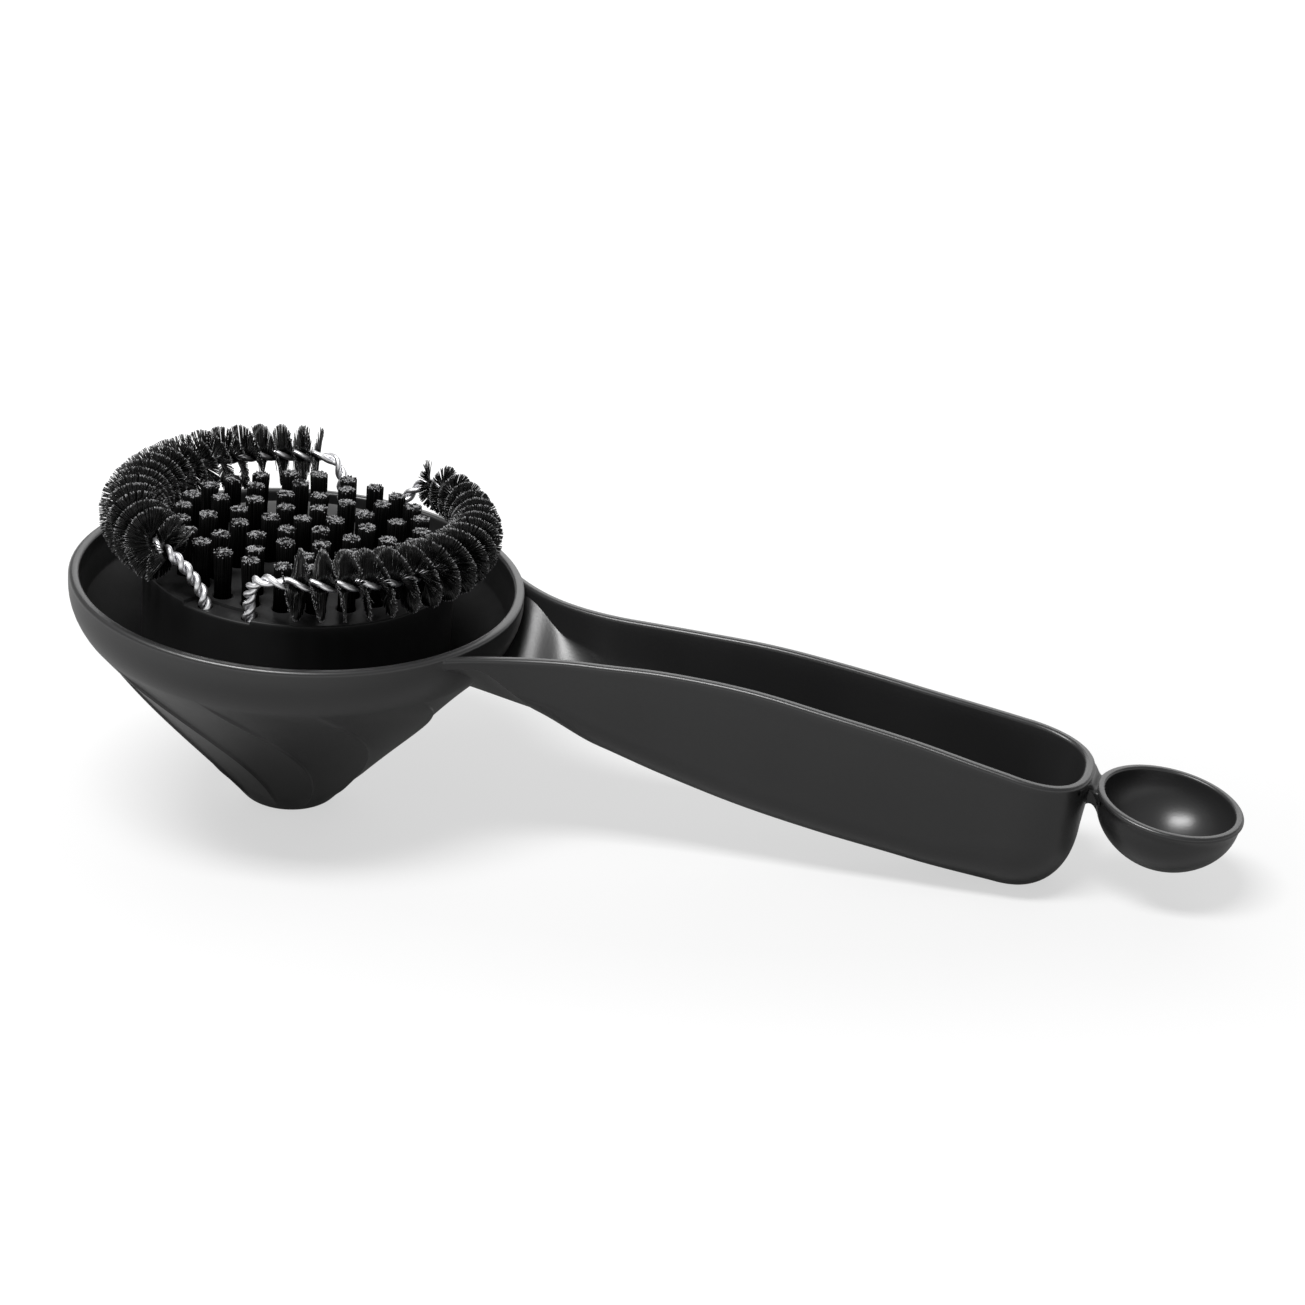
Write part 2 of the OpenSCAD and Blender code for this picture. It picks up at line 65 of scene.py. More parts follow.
tip = next(m for m in frame["record"]["mounts"] if m["name"] == "tip_face")
down = np.array(tip["axis"], float)
down /= np.linalg.norm(down)
AXES = np.array([[-down[2], 0, down[0]], [0, 1, 0], -down])
ORIGIN = np.array(tip["pos_m"], float) / MM - BOWL_DEPTH * down
print("tilt of the handle: %.2f degrees" % math.degrees(math.atan2(-down[0], -down[2])))


def placed(points):
    """Points in the tool's axes, in mm, as points of the scene, in metres: each one is
    the origin plus its three coordinates times the three axes."""
    return (np.asarray(points, float) @ AXES + ORIGIN) * MM


# %% [markdown]
# ## Curves that the shapes share
#
# Three small formulas do most of the work. A cosine-like ease blends one value into
# another with no corner. A Catmull-Rom curve runs smoothly through evenly spaced values,
# as a flexible ruler does through pins. A polar point turns a radius and an angle into
# x and y.

# %% Shared curves
def mix(a, b, t):
    """a where t is 0, b where t is 1, and evenly between."""
    return a + (b - a) * t


def ease(a, b, x):
    """0 up to a, 1 from b on, and 3t squared minus 2t cubed between."""
    t = np.clip((np.asarray(x, float) - a) / (b - a), 0, 1)
    return t * t * (3 - 2 * t)


def curve_through(values, t):
    """Catmull-Rom curve through evenly spaced values: between pins b and c, with pins a
    and d beyond them, it is the cubic that leaves b along c minus a and reaches c along
    d minus b."""
    values = np.asarray(values, float)
    t = np.asarray(t, float)
    n = len(values) - 1
    i = np.clip(np.floor(t).astype(int), 0, n - 1)
    f = t - i
    a, b, c, d = (values[np.clip(i + k, 0, n)] for k in (-1, 0, 1, 2))
    if values.ndim > 1:
        f = f[..., None]
    return 0.5 * (2 * b + (c - a) * f + (2 * a - 5 * b + 4 * c - d) * f ** 2
                  + (3 * b - a - 3 * c + d) * f ** 3)


def polar(r, angle, z):
    """Points at radius r and an angle in degrees, at height z."""
    angle = np.radians(angle)
    return np.stack(np.broadcast_arrays(r * np.cos(angle), r * np.sin(angle), z), -1)


def arc(cx, cz, r, start, end, n):
    """n + 1 points on a circle's arc, as rows of [x, z]."""
    a = np.radians(np.linspace(start, end, n + 1))
    return np.stack([cx + r * np.cos(a), cz + r * np.sin(a)], -1)


def unit(vectors):
    """Vectors divided by their lengths."""
    return vectors / np.linalg.norm(vectors, axis=-1)[..., None]


# %% [markdown]
# ## From a grid of points to a mesh
#
# Every solid here is a stack of closed rings of points. Neighbouring rings are joined by
# four-sided faces, and both ends are drawn together to one point, which closes them.
# Points that fall on each other are then merged, so a pole has one point and no gap. The
# faces are turned so that the volume they enclose is positive, which makes them point out.

# %% Rings of points to a closed mesh
def ring_faces(rows, cols):
    """Corner numbers of the faces between each ring and the next, closed round the ring."""
    j, i = np.meshgrid(np.arange(rows - 1), np.arange(cols), indexing="ij")
    k = (i + 1) % cols
    return np.stack([j * cols + i, j * cols + k, (j + 1) * cols + k, (j + 1) * cols + i],
                    -1).reshape(-1, 4)


def enclosed(points, faces):
    """Volume inside the faces: a sixth of the sum of each triangle's triple product."""
    a, b, c, d = (points[faces[:, n]] for n in range(4))
    return (np.einsum("ij,ij->", a, np.cross(b, c)) + np.einsum("ij,ij->", a, np.cross(c, d))) / 6


def new_mesh(name, points, faces):
    """A mesh object from arrays of points and four-sided faces."""
    mesh = bpy.data.meshes.new(name)
    mesh.vertices.add(len(points))
    mesh.vertices.foreach_set("co", np.asarray(points, np.float32).ravel())
    mesh.loops.add(faces.size)
    mesh.loops.foreach_set("vertex_index", faces.astype(np.int32).ravel())
    mesh.polygons.add(len(faces))
    mesh.polygons.foreach_set("loop_start", np.arange(0, faces.size, 4, dtype=np.int32))
    mesh.update(calc_edges=True)
    piece = bpy.data.objects.new(name, mesh)
    bpy.context.scene.collection.objects.link(piece)
    return piece


def merge_points(piece, distance=2e-6):
    """Merges points that fall on each other, so that poles and seams are closed."""
    import bmesh
    work = bmesh.new()
    work.from_mesh(piece.data)
    bmesh.ops.remove_doubles(work, verts=work.verts, dist=distance)
    bmesh.ops.dissolve_degenerate(work, edges=work.edges, dist=distance / 2)
    work.to_mesh(piece.data)
    work.free()


def solid_from_rings(name, rings, folded_end=False):
    """A closed solid from rings of shape (rings, points in a ring, 3), in mm. A last ring
    that is folded flat on itself needs no cap, because its merged points close it."""
    caps = [np.broadcast_to(r.mean(0), r.shape)[None] for r in (rings[0], rings[-1])]
    rings = np.concatenate([caps[0], rings] + ([] if folded_end else [caps[1]]))
    points = rings.reshape(-1, 3)
    faces = ring_faces(*rings.shape[:2])
    if enclosed(points, faces) < 0:
        faces = faces[:, ::-1]
    piece = new_mesh(name, placed(points), faces)
    merge_points(piece)
    return piece


def revolved(name, profile, cols, place=None):
    """A solid of revolution: each profile row [radius, height] becomes a ring."""
    angle = np.linspace(0, 360, cols, endpoint=False)
    profile = np.asarray(profile, float)
    rings = polar(profile[:, 0:1], angle[None], profile[:, 1:2])
    return solid_from_rings(name, place(rings) if place else rings)


# %% [markdown]
# ## Joining and cutting
#
# The moulding is one skin in the real tool, but bowl, trough, scoop and neck each have
# their own formula. They are drawn as separate solids and then joined, and the hollows
# are cut out of the whole, just as in the CAD source. Boolean modifiers do that. Faces
# are shaded smooth, and an edge stays sharp only where its faces meet at a clear angle.

# %% Joining, cutting and shading
def combine(base, operation, parts):
    """Joins parts to base, or cuts them from it, and deletes the parts."""
    for part in parts:
        step = base.modifiers.new(part.name, "BOOLEAN")
        step.operation, step.solver, step.object = operation, "MANIFOLD", part
    graph = bpy.context.evaluated_depsgraph_get()
    made = bpy.data.meshes.new_from_object(base.evaluated_get(graph))
    base.modifiers.clear()
    base.data = made
    for part in parts:
        bpy.data.objects.remove(part)


def shade(piece, sharp_angle):
    """Smooth shading, with edges sharp where faces meet at more than sharp_angle."""
    piece.data.polygons.foreach_set("use_smooth", np.ones(len(piece.data.polygons), bool))
    piece.data.set_sharp_from_angle(angle=math.radians(sharp_angle))
    print("%s: %d faces" % (piece.name, len(piece.data.polygons)))
    return piece


def stand_for(piece, slot, *nodes):
    """Puts a finished piece in the place of the CAD nodes that it shows in full."""
    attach(piece, "root")
    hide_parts(*nodes)


# %% [markdown]
# ## The bowl's outside, with its spiral steps
#
# The bowl is a cone under a rounded shoulder, and twelve panels spiral down it. Each
# panel is a shallow hollow that rises to its far edge and drops there to the next one. A
# normal map could fake the steps, but they show on the outline, so they are real. The
# columns of the grid lean with the spiral, so each edge runs along a column and stays
# crisp, and several columns close together round it off.

# %% The bowl's outside
BOWL_R = 42.4
CONE_SLOPE = 0.845
CONE_R = 48.05
BOWL_WALL = 2.6
LIP_W = 2.0
LIP_ROUND, LIP_ROUND_IN = 0.8, 0.7
TIP_ROUND = 2.5
SHOULDER_IN, SHOULDER_H, SHOULDER_UNDER = 2.4, 7.5, 2
CONE_TOP, SHOULDER_FOOT = 9.7, 9.4
PANELS, STEP_H, FLUTE, TURN, START = 12, 0.6, 0.36, 44, -62
SWIRL_END = BOWL_DEPTH - TIP_ROUND * (1 - math.sin(math.atan(CONE_SLOPE))) - 0.7


def cone_at(z):
    """Radius of the plain cone at height z: its rim radius plus slope times z."""
    return CONE_R + CONE_SLOPE * np.asarray(z, float)


def bowl_profile():
    """Rows [radius, height] from the tip's middle up to the lip's inner side. The
    shoulder curves in from the rim by a power of the depth under it."""
    lean = math.degrees(math.atan(CONE_SLOPE))
    tip_z = -BOWL_DEPTH + TIP_ROUND
    tip_x = float(cone_at(tip_z)) - TIP_ROUND / math.cos(math.radians(lean))
    flat = np.stack([np.linspace(0.02, tip_x * 0.96, 5), np.full(5, -BOWL_DEPTH)], -1)
    z = np.linspace(-SWIRL_END, -CONE_TOP, 64)
    shoulder_z = np.linspace(-SHOULDER_FOOT, -LIP_ROUND, 20)
    depth = np.clip((-shoulder_z - SHOULDER_UNDER) / SHOULDER_H, 0, 1)
    shoulder = BOWL_R - SHOULDER_IN * depth ** 2.1
    lip = arc(BOWL_R - LIP_ROUND, -LIP_ROUND, LIP_ROUND, 12, 90, 6)
    return np.concatenate([flat, arc(tip_x, tip_z, TIP_ROUND, -90, -lean, 10),
                           np.stack([cone_at(z), z], -1),
                           np.stack([shoulder, shoulder_z], -1), lip,
                           [[BOWL_R - LIP_W, 0], [0.02, 0]]])


def panel_height(u):
    """Height of a panel at share u of its width: the step's height times s squared minus
    a hollow of 4 s (1 - s), where s is u over 0.95, then a short eased drop to zero."""
    s = np.minimum(u / 0.95, 1)
    return (STEP_H * s * s - 4 * FLUTE * s * (1 - s)) * (1 - ease(0.95, 1, u))


def bowl_outside():
    """Rings of the bowl's outside. The panels fade in under the shoulder and out above
    the tip. Turn of the columns: the whole turn times 1 - (1 - depth share) to 1.6."""
    profile = bowl_profile()
    r, z = profile[:, 0:1], profile[:, 1:2]
    u = np.array([0, 0.07, 0.16, 0.26, 0.37, 0.48, 0.59, 0.7, 0.8, 0.88, 0.93, 0.95, 0.962,
                  0.975, 0.988])
    column = (np.arange(PANELS)[:, None] + u).ravel()[None]
    height = panel_height(np.tile(u, PANELS)[None]) * ease(9, 14.5, -z)
    height = height * ease(SWIRL_END, SWIRL_END - 4.5, -z)
    turn = TURN * (1 - (1 - np.clip((-z - 9.5) / (SWIRL_END - 10), 0, 1)) ** 1.6)
    return polar(r + height, START + turn + column * 360 / PANELS, z)


bowl = solid_from_rings("handle_body_smooth", bowl_outside())
print("bowl:", len(bowl.data.polygons), "faces")

# %% [markdown]
# ## The trough
#
# The handle is a deep trough whose rim flows out of the bowl's rim and rises and falls
# along its length. At each station along the outline, a section goes down the near wall,
# round the keel and up the far wall. The outline gives the width, one curve gives the
# rim's height and another the keel's depth. The wall leans in a little as it goes down,
# which lets the real moulding leave its mould, and the bottom corner is a superellipse.
# Near the bowl the wall is a low band over a flat slope, with a crease between them.

# %% The trough's outline, rim and keel
TROUGH_WALL = 1.9
RIM_ROUND = 0.7
TROUGH_END, TROUGH_END_R, TROUGH_WAIST = 138.5, 12.7, 10.85
KEEL_DEPTH = 28.2
DRAFT = 0.06
LOW_WALL = 1.9
FLARE_END = 62
STATION_0 = 30
STATION_STEP = (TROUGH_END - STATION_0) / 7.233
RIM = [-0.3, -0.65, 0.1, 1.25, 1.65, 0.75, -0.55, -2.15, -3.7]
KEEL = [0.53, 0.588, 0.658, 0.787, 0.88, 0.93, 0.96, 0.985, 0.99]
WIDEN = [0.8, 0.8, 0.75, 0, 0.1, 0.5, 0.65, 1.4, 1.55]


def along(values, x):
    """Value at distance x from the bowl's axis, on the curve through the stations."""
    return curve_through(values, (np.asarray(x, float) - STATION_0) / STATION_STEP)


def rim_z(x):
    """Height of the rim over the bowl's rim plane."""
    return along(RIM, x)


def keel_z(x):
    """Height of the keel: a share of its greatest depth."""
    return -KEEL_DEPTH * along(KEEL, x)


def half_width(x):
    """Half width of the straight part: the waist plus a share of the widening."""
    return TROUGH_WAIST + along(WIDEN, x) * (TROUGH_END_R - TROUGH_WAIST) / 1.55


def half_outline():
    """Half of the rim's outline: a Bezier curve off the bowl, the waisted straight and a
    round end that is a little fuller than a circle."""
    a, b, c, d = [35.2, 22.6], [40, 18.2], [49, 12.4], [FLARE_END, float(half_width(FLARE_END))]
    start = np.linspace([30.6, 26.6], a, 4)[:-1]
    t = np.linspace(0, 1, 40)[:-1, None]
    flare = (np.array(a) * (1 - t) ** 3 + 3 * np.array(b) * t * (1 - t) ** 2
             + 3 * np.array(c) * t ** 2 * (1 - t) + np.array(d) * t ** 3)
    x = np.linspace(FLARE_END, TROUGH_END, 60)[:-1]
    straight = np.stack([x, half_width(x)], -1)
    turn = np.radians(np.linspace(90, 0, 30))
    end = np.stack([TROUGH_END + TROUGH_END_R * np.clip(np.cos(turn), 0, 1) ** 0.84,
                    TROUGH_END_R * np.clip(np.sin(turn), 0, 1) ** 0.84], -1)
    end[0, 0] = TROUGH_END
    return np.concatenate([start, flare, straight, end])


OUTLINE = half_outline()
print("trough outline:", len(OUTLINE), "stations, ends at x = %.1f mm" % OUTLINE[-1, 0])


# %% The trough's sections
def trough_sections(inset, inner):
    """Rings of the trough's outer or inner skin. A ring goes down the near wall, over
    the keel and up the far wall. inset is the distance inward from the outline."""
    step = np.gradient(OUTLINE, axis=0)
    step[-1] = [0, -1]
    step[0] = [1, 0]
    step = unit(step)
    normal = np.stack([-step[:, 1], step[:, 0]], -1)[:, None]
    out = OUTLINE[:, None]
    middle = np.minimum(OUTLINE[:, 0], TROUGH_END)
    top, low = rim_z(OUTLINE[:, 0])[:, None], (keel_z(middle) + inset)[:, None]
    corner = (8.6 + 4.4 * ease(TROUGH_END - 16, TROUGH_END, middle))[:, None]
    power = mix(2, 0.86, ease(45, 63, middle))[:, None]
    high_wall = np.maximum(LOW_WALL, top - low - corner)
    wall = mix(LOW_WALL, high_wall, ease(41, 50.5, middle)[:, None])
    turn = np.radians(np.linspace(0, 90, 7))
    edge_in = inset + (-1 if inner else 1) * RIM_ROUND * (1 - np.sin(turn))
    edge_down = -RIM_ROUND * (1 - np.cos(turn))
    if inner:
        edge_in = np.concatenate([[inset - RIM_ROUND], edge_in])
        edge_down = np.concatenate([[3], edge_down])
    edge = out - normal * edge_in[None, :, None]
    edge_z = top + edge_down[None]
    depth = mix(RIM_ROUND, wall, np.linspace(0, 1, 12)[None, 1:])
    side = out - normal * (inset + DRAFT * depth)[..., None]
    foot = out - normal * (inset + DRAFT * wall)[..., None]
    a = np.radians(np.linspace(0, 90, 26))[None, 1:]
    centre = np.stack([middle, np.zeros_like(middle)], -1)[:, None]
    shrink = np.clip(np.cos(a), 0, 1) ** power
    corner_xy = centre + (foot - centre) * shrink[..., None]
    corner_z = mix(top - wall, low, np.sin(a) ** power)
    far = np.concatenate([
        np.concatenate([edge, edge_z[..., None]], -1),
        np.concatenate([side, (top - depth)[..., None]], -1),
        np.concatenate([corner_xy, corner_z[..., None]], -1)], 1)
    near = far[:, ::-1] * [1, -1, 1]
    return np.concatenate([far, near[:, 1:]], 1)


trough = solid_from_rings("trough", trough_sections(0, False), True)
trough_hollow = solid_from_rings("trough_hollow", trough_sections(TROUGH_WALL, True), True)
combine(trough, "DIFFERENCE", [trough_hollow])
print("trough:", len(trough.data.polygons), "faces")

# %% [markdown]
# ## The scoop and its neck
#
# The scoop is a round cup, so it is a profile turned about its own axis, which leans a
# little. Its rim flares out past the wall, which draws the bright line and the dark one
# under it. The neck is a short waisted bridge with an arched rib below it. A bridge like
# this is a row of rounded sections whose width and height change from one end to the
# other.

# %% The scoop
SCOOP_R, SCOOP_FLARE, SCOOP_DEPTH, SCOOP_WALL = 13, 0.4, 12.6, 1.5
SCOOP_GAP, SCOOP_DROP, SCOOP_TILT = 0.8, 2.4, 2.6
SCOOP_X = TROUGH_END + TROUGH_END_R + SCOOP_GAP + SCOOP_R
SCOOP_Z = float(rim_z(TROUGH_END + TROUGH_END_R)) - SCOOP_DROP


def at_scoop(points):
    """Points about the scoop's own axis, leaned by SCOOP_TILT and moved to the scoop."""
    c, s = math.cos(math.radians(SCOOP_TILT)), math.sin(math.radians(SCOOP_TILT))
    x, y, z = np.moveaxis(points, -1, 0)
    return np.stack([x * c + z * s + SCOOP_X, y, -x * s + z * c + SCOOP_Z], -1)


def cup_profile(r, depth, band):
    """A cup's wall: radius r times cosine to the power 1.13, depth times sine, under a
    straight band at the rim."""
    a = np.radians(np.linspace(89.5, 0, 28))
    return np.stack([r * np.cos(a) ** 1.13, -band - (depth - band) * np.sin(a)], -1)


scoop = revolved("scoop", np.concatenate([
    cup_profile(SCOOP_R - SCOOP_FLARE, SCOOP_DEPTH, 1.6),
    arc(SCOOP_R - 0.6, -0.6, 0.6, -40, 90, 9), [[0.02, 0]]]), 128, at_scoop)
inner_r = SCOOP_R - SCOOP_WALL
scoop_hollow = revolved("scoop_hollow", np.concatenate([
    cup_profile(inner_r, SCOOP_DEPTH - SCOOP_WALL, 1.2),
    arc(inner_r + 0.5, -0.5, 0.5, 180, 90, 6), [[inner_r + 0.5, 4], [0.02, 4]]]), 128, at_scoop)
print("scoop centre: x = %.1f, z = %.1f mm" % (SCOOP_X, SCOOP_Z))


# %% The neck and its rib
def bridge(name, x, middle_z, half_w, half_h, power):
    """Sections along x, each a superellipse: y is half_w times cosine to the power, and
    z is middle_z plus half_h times sine to the power."""
    a = np.radians(np.linspace(0, 360, 48, endpoint=False))[None]
    c, s = np.cos(a), np.sin(a)
    y = half_w[:, None] * np.sign(c) * np.abs(c) ** power
    z = middle_z[:, None] + half_h[:, None] * np.sign(s) * np.abs(s) ** power
    return solid_from_rings(name, np.stack(np.broadcast_arrays(x[:, None], y, z), -1))


NOSE_X = TROUGH_END + TROUGH_END_R
NECK_W, NECK_HALF_H, RIB_HALF_W = 3.6, 1.0, 0.8
share = np.linspace(0, 1, 28)
neck_x = mix(NOSE_X - 1.5, SCOOP_X - SCOOP_R + 1.3, share)
rim_a = float(rim_z(NOSE_X)) - 0.3
rim_b = SCOOP_Z + SCOOP_R * math.sin(math.radians(SCOOP_TILT)) - 0.3
neck_top = mix(rim_a, rim_b, ease(NOSE_X - 0.3, neck_x[-1] - 0.6, neck_x))
neck_w = NECK_W + np.where(share < 0.6, 4.1 * (1 - share / 0.6) ** 2,
                           2.1 * ((share - 0.6) / 0.4) ** 2)
neck_middle = neck_top - NECK_HALF_H
neck = bridge("neck", neck_x, neck_middle, neck_w, np.full(len(share), NECK_HALF_H), 0.55)
rib_low = rim_b - 4.2 - 2 * (2 * share - 1) ** 2
rib = bridge("rib", neck_x, (neck_middle + rib_low) / 2, np.full(len(share), RIB_HALF_W),
             (neck_middle - rib_low) / 2, 0.4)

# %% [markdown]
# ## One moulding
#
# The bowl's hollow is turned from its own profile: the rounded lip, the wall, and the
# ledge that carries the brush. Once everything is joined and cut, the moulding is one
# closed skin.

# %% Join the moulding
CARRIER_R, CARRIER_TOP, CARRIER_PLATE, CARRIER_SKIRT, CARRIER_CLEAR = 29, 2.6, 9, 2.6, 0.35
SEAT_Z = (CARRIER_R + CARRIER_CLEAR + BOWL_WALL - CONE_R) / CONE_SLOPE
SEAT_IN = CARRIER_R - CARRIER_SKIRT + 0.6
HOLLOW_BEND = 7.4


def bowl_hollow_profile():
    """Rows [radius, height] of the hollow, from its bottom up to above the lip. The wall
    follows the cone up to HOLLOW_BEND under the rim, and from there it stands up."""
    low = -BOWL_DEPTH + BOWL_WALL + 0.6
    inner = [float(cone_at(z)) - BOWL_WALL for z in (low, SEAT_Z - 8, SEAT_Z, -HOLLOW_BEND)]
    wall = np.array([[inner[0], low], [inner[1], SEAT_Z - 8], [SEAT_IN, SEAT_Z],
                     [inner[2], SEAT_Z], [inner[3], -HOLLOW_BEND]])
    mouth = BOWL_R - LIP_W
    upper_z = np.linspace(-6.6, -LIP_ROUND_IN, 9)
    upper = np.interp(upper_z, [-HOLLOW_BEND, -5, -2.6, -LIP_ROUND_IN],
                      [inner[3], mouth - 0.7, mouth - 0.15, mouth])
    return np.concatenate([[[0.02, low]], wall, np.stack([upper, upper_z], -1),
                           arc(mouth + LIP_ROUND_IN, -LIP_ROUND_IN, LIP_ROUND_IN, 180, 90, 6)[1:],
                           [[mouth + LIP_ROUND_IN, 4], [0.02, 4]]])


bowl_hollow = revolved("bowl_hollow", bowl_hollow_profile(), 192)
combine(bowl, "UNION", [trough, scoop, neck, rib])
combine(bowl, "DIFFERENCE", [bowl_hollow, scoop_hollow])
shade(bowl, 38)
stand_for(bowl, "body", "handle_body")

# %% [markdown]
# ## The brush carrier
#
# The carrier is a turned-looking puck, but its edge steps down a little between the two
# front wire feet. So its rings are a profile that depends on the angle: inside the
# sector, the outer part of the top lies lower. Each tuft and each wire foot stands in a
# hole with a small chamfer.

# %% The carrier
FOOT_R, FOOT_HOLE_R = 27, 1.35
FRONT_FEET, BACK_FEET = (-86, -105), (72, -265)  # angles, right and left brush
CARRIER_STEP, CARRIER_EDGE = 0.65, 0.4
STEP_RISE = 0.33
HOLE_CHAMFER = 0.22
# Each ring of tufts: how many, share of the outer ring's radius, first angle.
TUFT_RINGS = [(1, 0, 0), (6, 0.27, 0), (12, 0.54, 15), (12, 0.78, 0), (24, 1, 5)]
TUFT_RING_R, TUFT_TURN, TUFT_R, TUFT_H = 22.3, 25, 1.6, 8.9


def carrier_rings():
    """Rings of the carrier. In the front sector, the top outside radius 25 is lower by
    the step, with a steep rise of a third of a degree at the sector's two ends."""
    top = CARRIER_TOP
    profile = np.concatenate([
        [[0.02, top - CARRIER_PLATE], [CARRIER_R - CARRIER_SKIRT, top - CARRIER_PLATE],
         [CARRIER_R - CARRIER_SKIRT, SEAT_Z], [CARRIER_R - 0.3, SEAT_Z],
         [CARRIER_R, SEAT_Z + 0.3]],
        np.stack([np.full(8, CARRIER_R), np.linspace(SEAT_Z + 1, top - 1.4, 8)], -1),
        arc(CARRIER_R - CARRIER_EDGE, top - CARRIER_EDGE, CARRIER_EDGE, 0, 90, 6),
        [[r, top] for r in (27, FOOT_R - 1.92, FOOT_R - 2, 18, 9, 0.02)]])
    start, end = FRONT_FEET[1] - 7, FRONT_FEET[0] + 2
    angle = np.sort(np.concatenate([np.linspace(-180, 180, 240, endpoint=False),
                                    [start, start + STEP_RISE, end - STEP_RISE, end]]))
    inside = (np.clip((angle - start) / STEP_RISE, 0, 1)
              * np.clip((end - angle) / STEP_RISE, 0, 1))
    r, z = profile[:, 0:1], profile[:, 1:2]
    outer = (r > FOOT_R - 1.95) & (z > top - 1)
    return polar(r, angle[None], z - CARRIER_STEP * outer * inside[None])


def copied_faces(faces, count, points):
    """The faces of count equal shapes that follow each other, each with so many points."""
    return (faces[None] + np.arange(count)[:, None, None] * points).reshape(-1, 4)


def hole_cutters(name, centres, r, depth):
    """Round cutters with a chamfered mouth, as one mesh: every cutter is the same small
    grid of points moved to its centre on the carrier's top."""
    wide = r + HOLE_CHAMFER
    profile = np.array([[0, -depth], [r, -depth], [r, -HOLE_CHAMFER],
                        [wide, 0.0], [wide, 1], [0, 1]])
    angle = np.linspace(0, 360, 28, endpoint=False)
    one = polar(profile[:, 0:1], angle[None], profile[:, 1:2] + CARRIER_TOP)
    moves = np.concatenate([centres, np.zeros((len(centres), 1))], 1)
    points = one[None] + moves[:, None, None]
    faces = ring_faces(*one.shape[:2])
    one = one.reshape(-1, 3)
    if enclosed(one, faces) < 0:
        faces = faces[:, ::-1]
    faces = copied_faces(faces, len(centres), len(one))
    piece = new_mesh(name, placed(points.reshape(-1, 3)), faces)
    merge_points(piece)
    return piece


def tuft_centres(ring):
    """Centres [x, y] of one ring's tufts, evenly spaced from the ring's first angle."""
    count, r, first = TUFT_RINGS[ring]
    angle = TUFT_TURN + first + np.arange(count) * 360 / count
    return polar(np.full(count, r * TUFT_RING_R), angle, 0)[:, :2]


carrier = solid_from_rings("brush_base_smooth", carrier_rings())
all_tufts = np.concatenate([tuft_centres(ring) for ring in range(len(TUFT_RINGS))])
feet = polar(np.full(4, float(FOOT_R)), np.array(FRONT_FEET + BACK_FEET, float), 0)[:, :2]
combine(carrier, "DIFFERENCE", [hole_cutters("tuft_holes", all_tufts, TUFT_R + 0.08, 2.2),
                                hole_cutters("foot_holes", feet, FOOT_HOLE_R, 3.0)])
shade(carrier, 30)
stand_for(carrier, "carrier", "brush_base")
print("tufts:", len(all_tufts))

# %% [markdown]
# ## Tufts of nylon filament
#
# Each tuft is a bundle of 140 nearly straight filaments, cut off almost level. One
# filament is a four-sided tube of a few faces, and all the filaments of a ring are worked
# out at once as one array. They are laid out like the seeds of a sunflower, which fills a
# circle evenly, then moved a little at random. Each point also stores how far along its
# filament it is, and a random number for its filament, so that a material can use both.

# %% Filaments as one array
def filaments(name, lines, radius, random):
    """Four-sided tubes along lines of shape (filaments, points, 3), in mm. Each section
    is a square across the line's own direction, and the tip is closed by one face."""
    count, points, _ = lines.shape
    direction = unit(np.gradient(lines, axis=1))
    helper = np.where(np.abs(direction[..., 2:3]) > 0.8, [1.0, 0, 0], [0, 0, 1.0])
    side = unit(np.cross(direction, helper))
    up = np.cross(side, direction)
    turn = random.uniform(0, 2 * np.pi, (count, 1, 1)) + np.arange(4) * np.pi / 2
    radius = np.broadcast_to(radius, (count, points))[..., None, None]
    ring = np.cos(turn)[..., None] * side[:, :, None] + np.sin(turn)[..., None] * up[:, :, None]
    corners = (lines[:, :, None] + ring * radius).reshape(-1, 3)
    walls = ring_faces(points, 4)
    last = (points - 1) * 4
    tip_face = np.array([[last, last + 1, last + 2, last + 3]])
    root_face = np.array([[3, 2, 1, 0]])
    one = np.concatenate([walls, tip_face, root_face])
    if enclosed(corners[:points * 4], one) < 0:
        one = one[:, ::-1]
    faces = copied_faces(one, count, points * 4)
    piece = new_mesh(name, placed(corners), faces)
    store(piece, "along", np.tile(np.repeat(np.linspace(0, 1, points), 4), count))
    store(piece, "strand", np.repeat(random.uniform(0, 1, count), points * 4))
    print("%s: %d filaments, %d faces" % (name, count, len(faces)))
    return piece


def store(piece, name, values):
    """Stores one number for each point of a piece, under a name that materials read."""
    stored = piece.data.attributes.new(name, "FLOAT", "POINT")
    stored.data.foreach_set("value", values.astype(np.float32))


# %% The tufts
TUFT_NODES = ["tuft_centre"] + ["tufts_ring_%d" % ring for ring in range(1, len(TUFT_RINGS))]
FILAMENTS_A_TUFT = 140
FILAMENT_R = 0.105
GOLDEN_ANGLE = 137.508
ROOT_SCATTER, LEAN_SCATTER, TUFT_LEAN = 0.035, 0.08, 0.12
TIP_WAVE, TIP_SCATTER, TIP_WEAR = 0.14, 0.08, 0.7
IN_CARRIER = 1.9


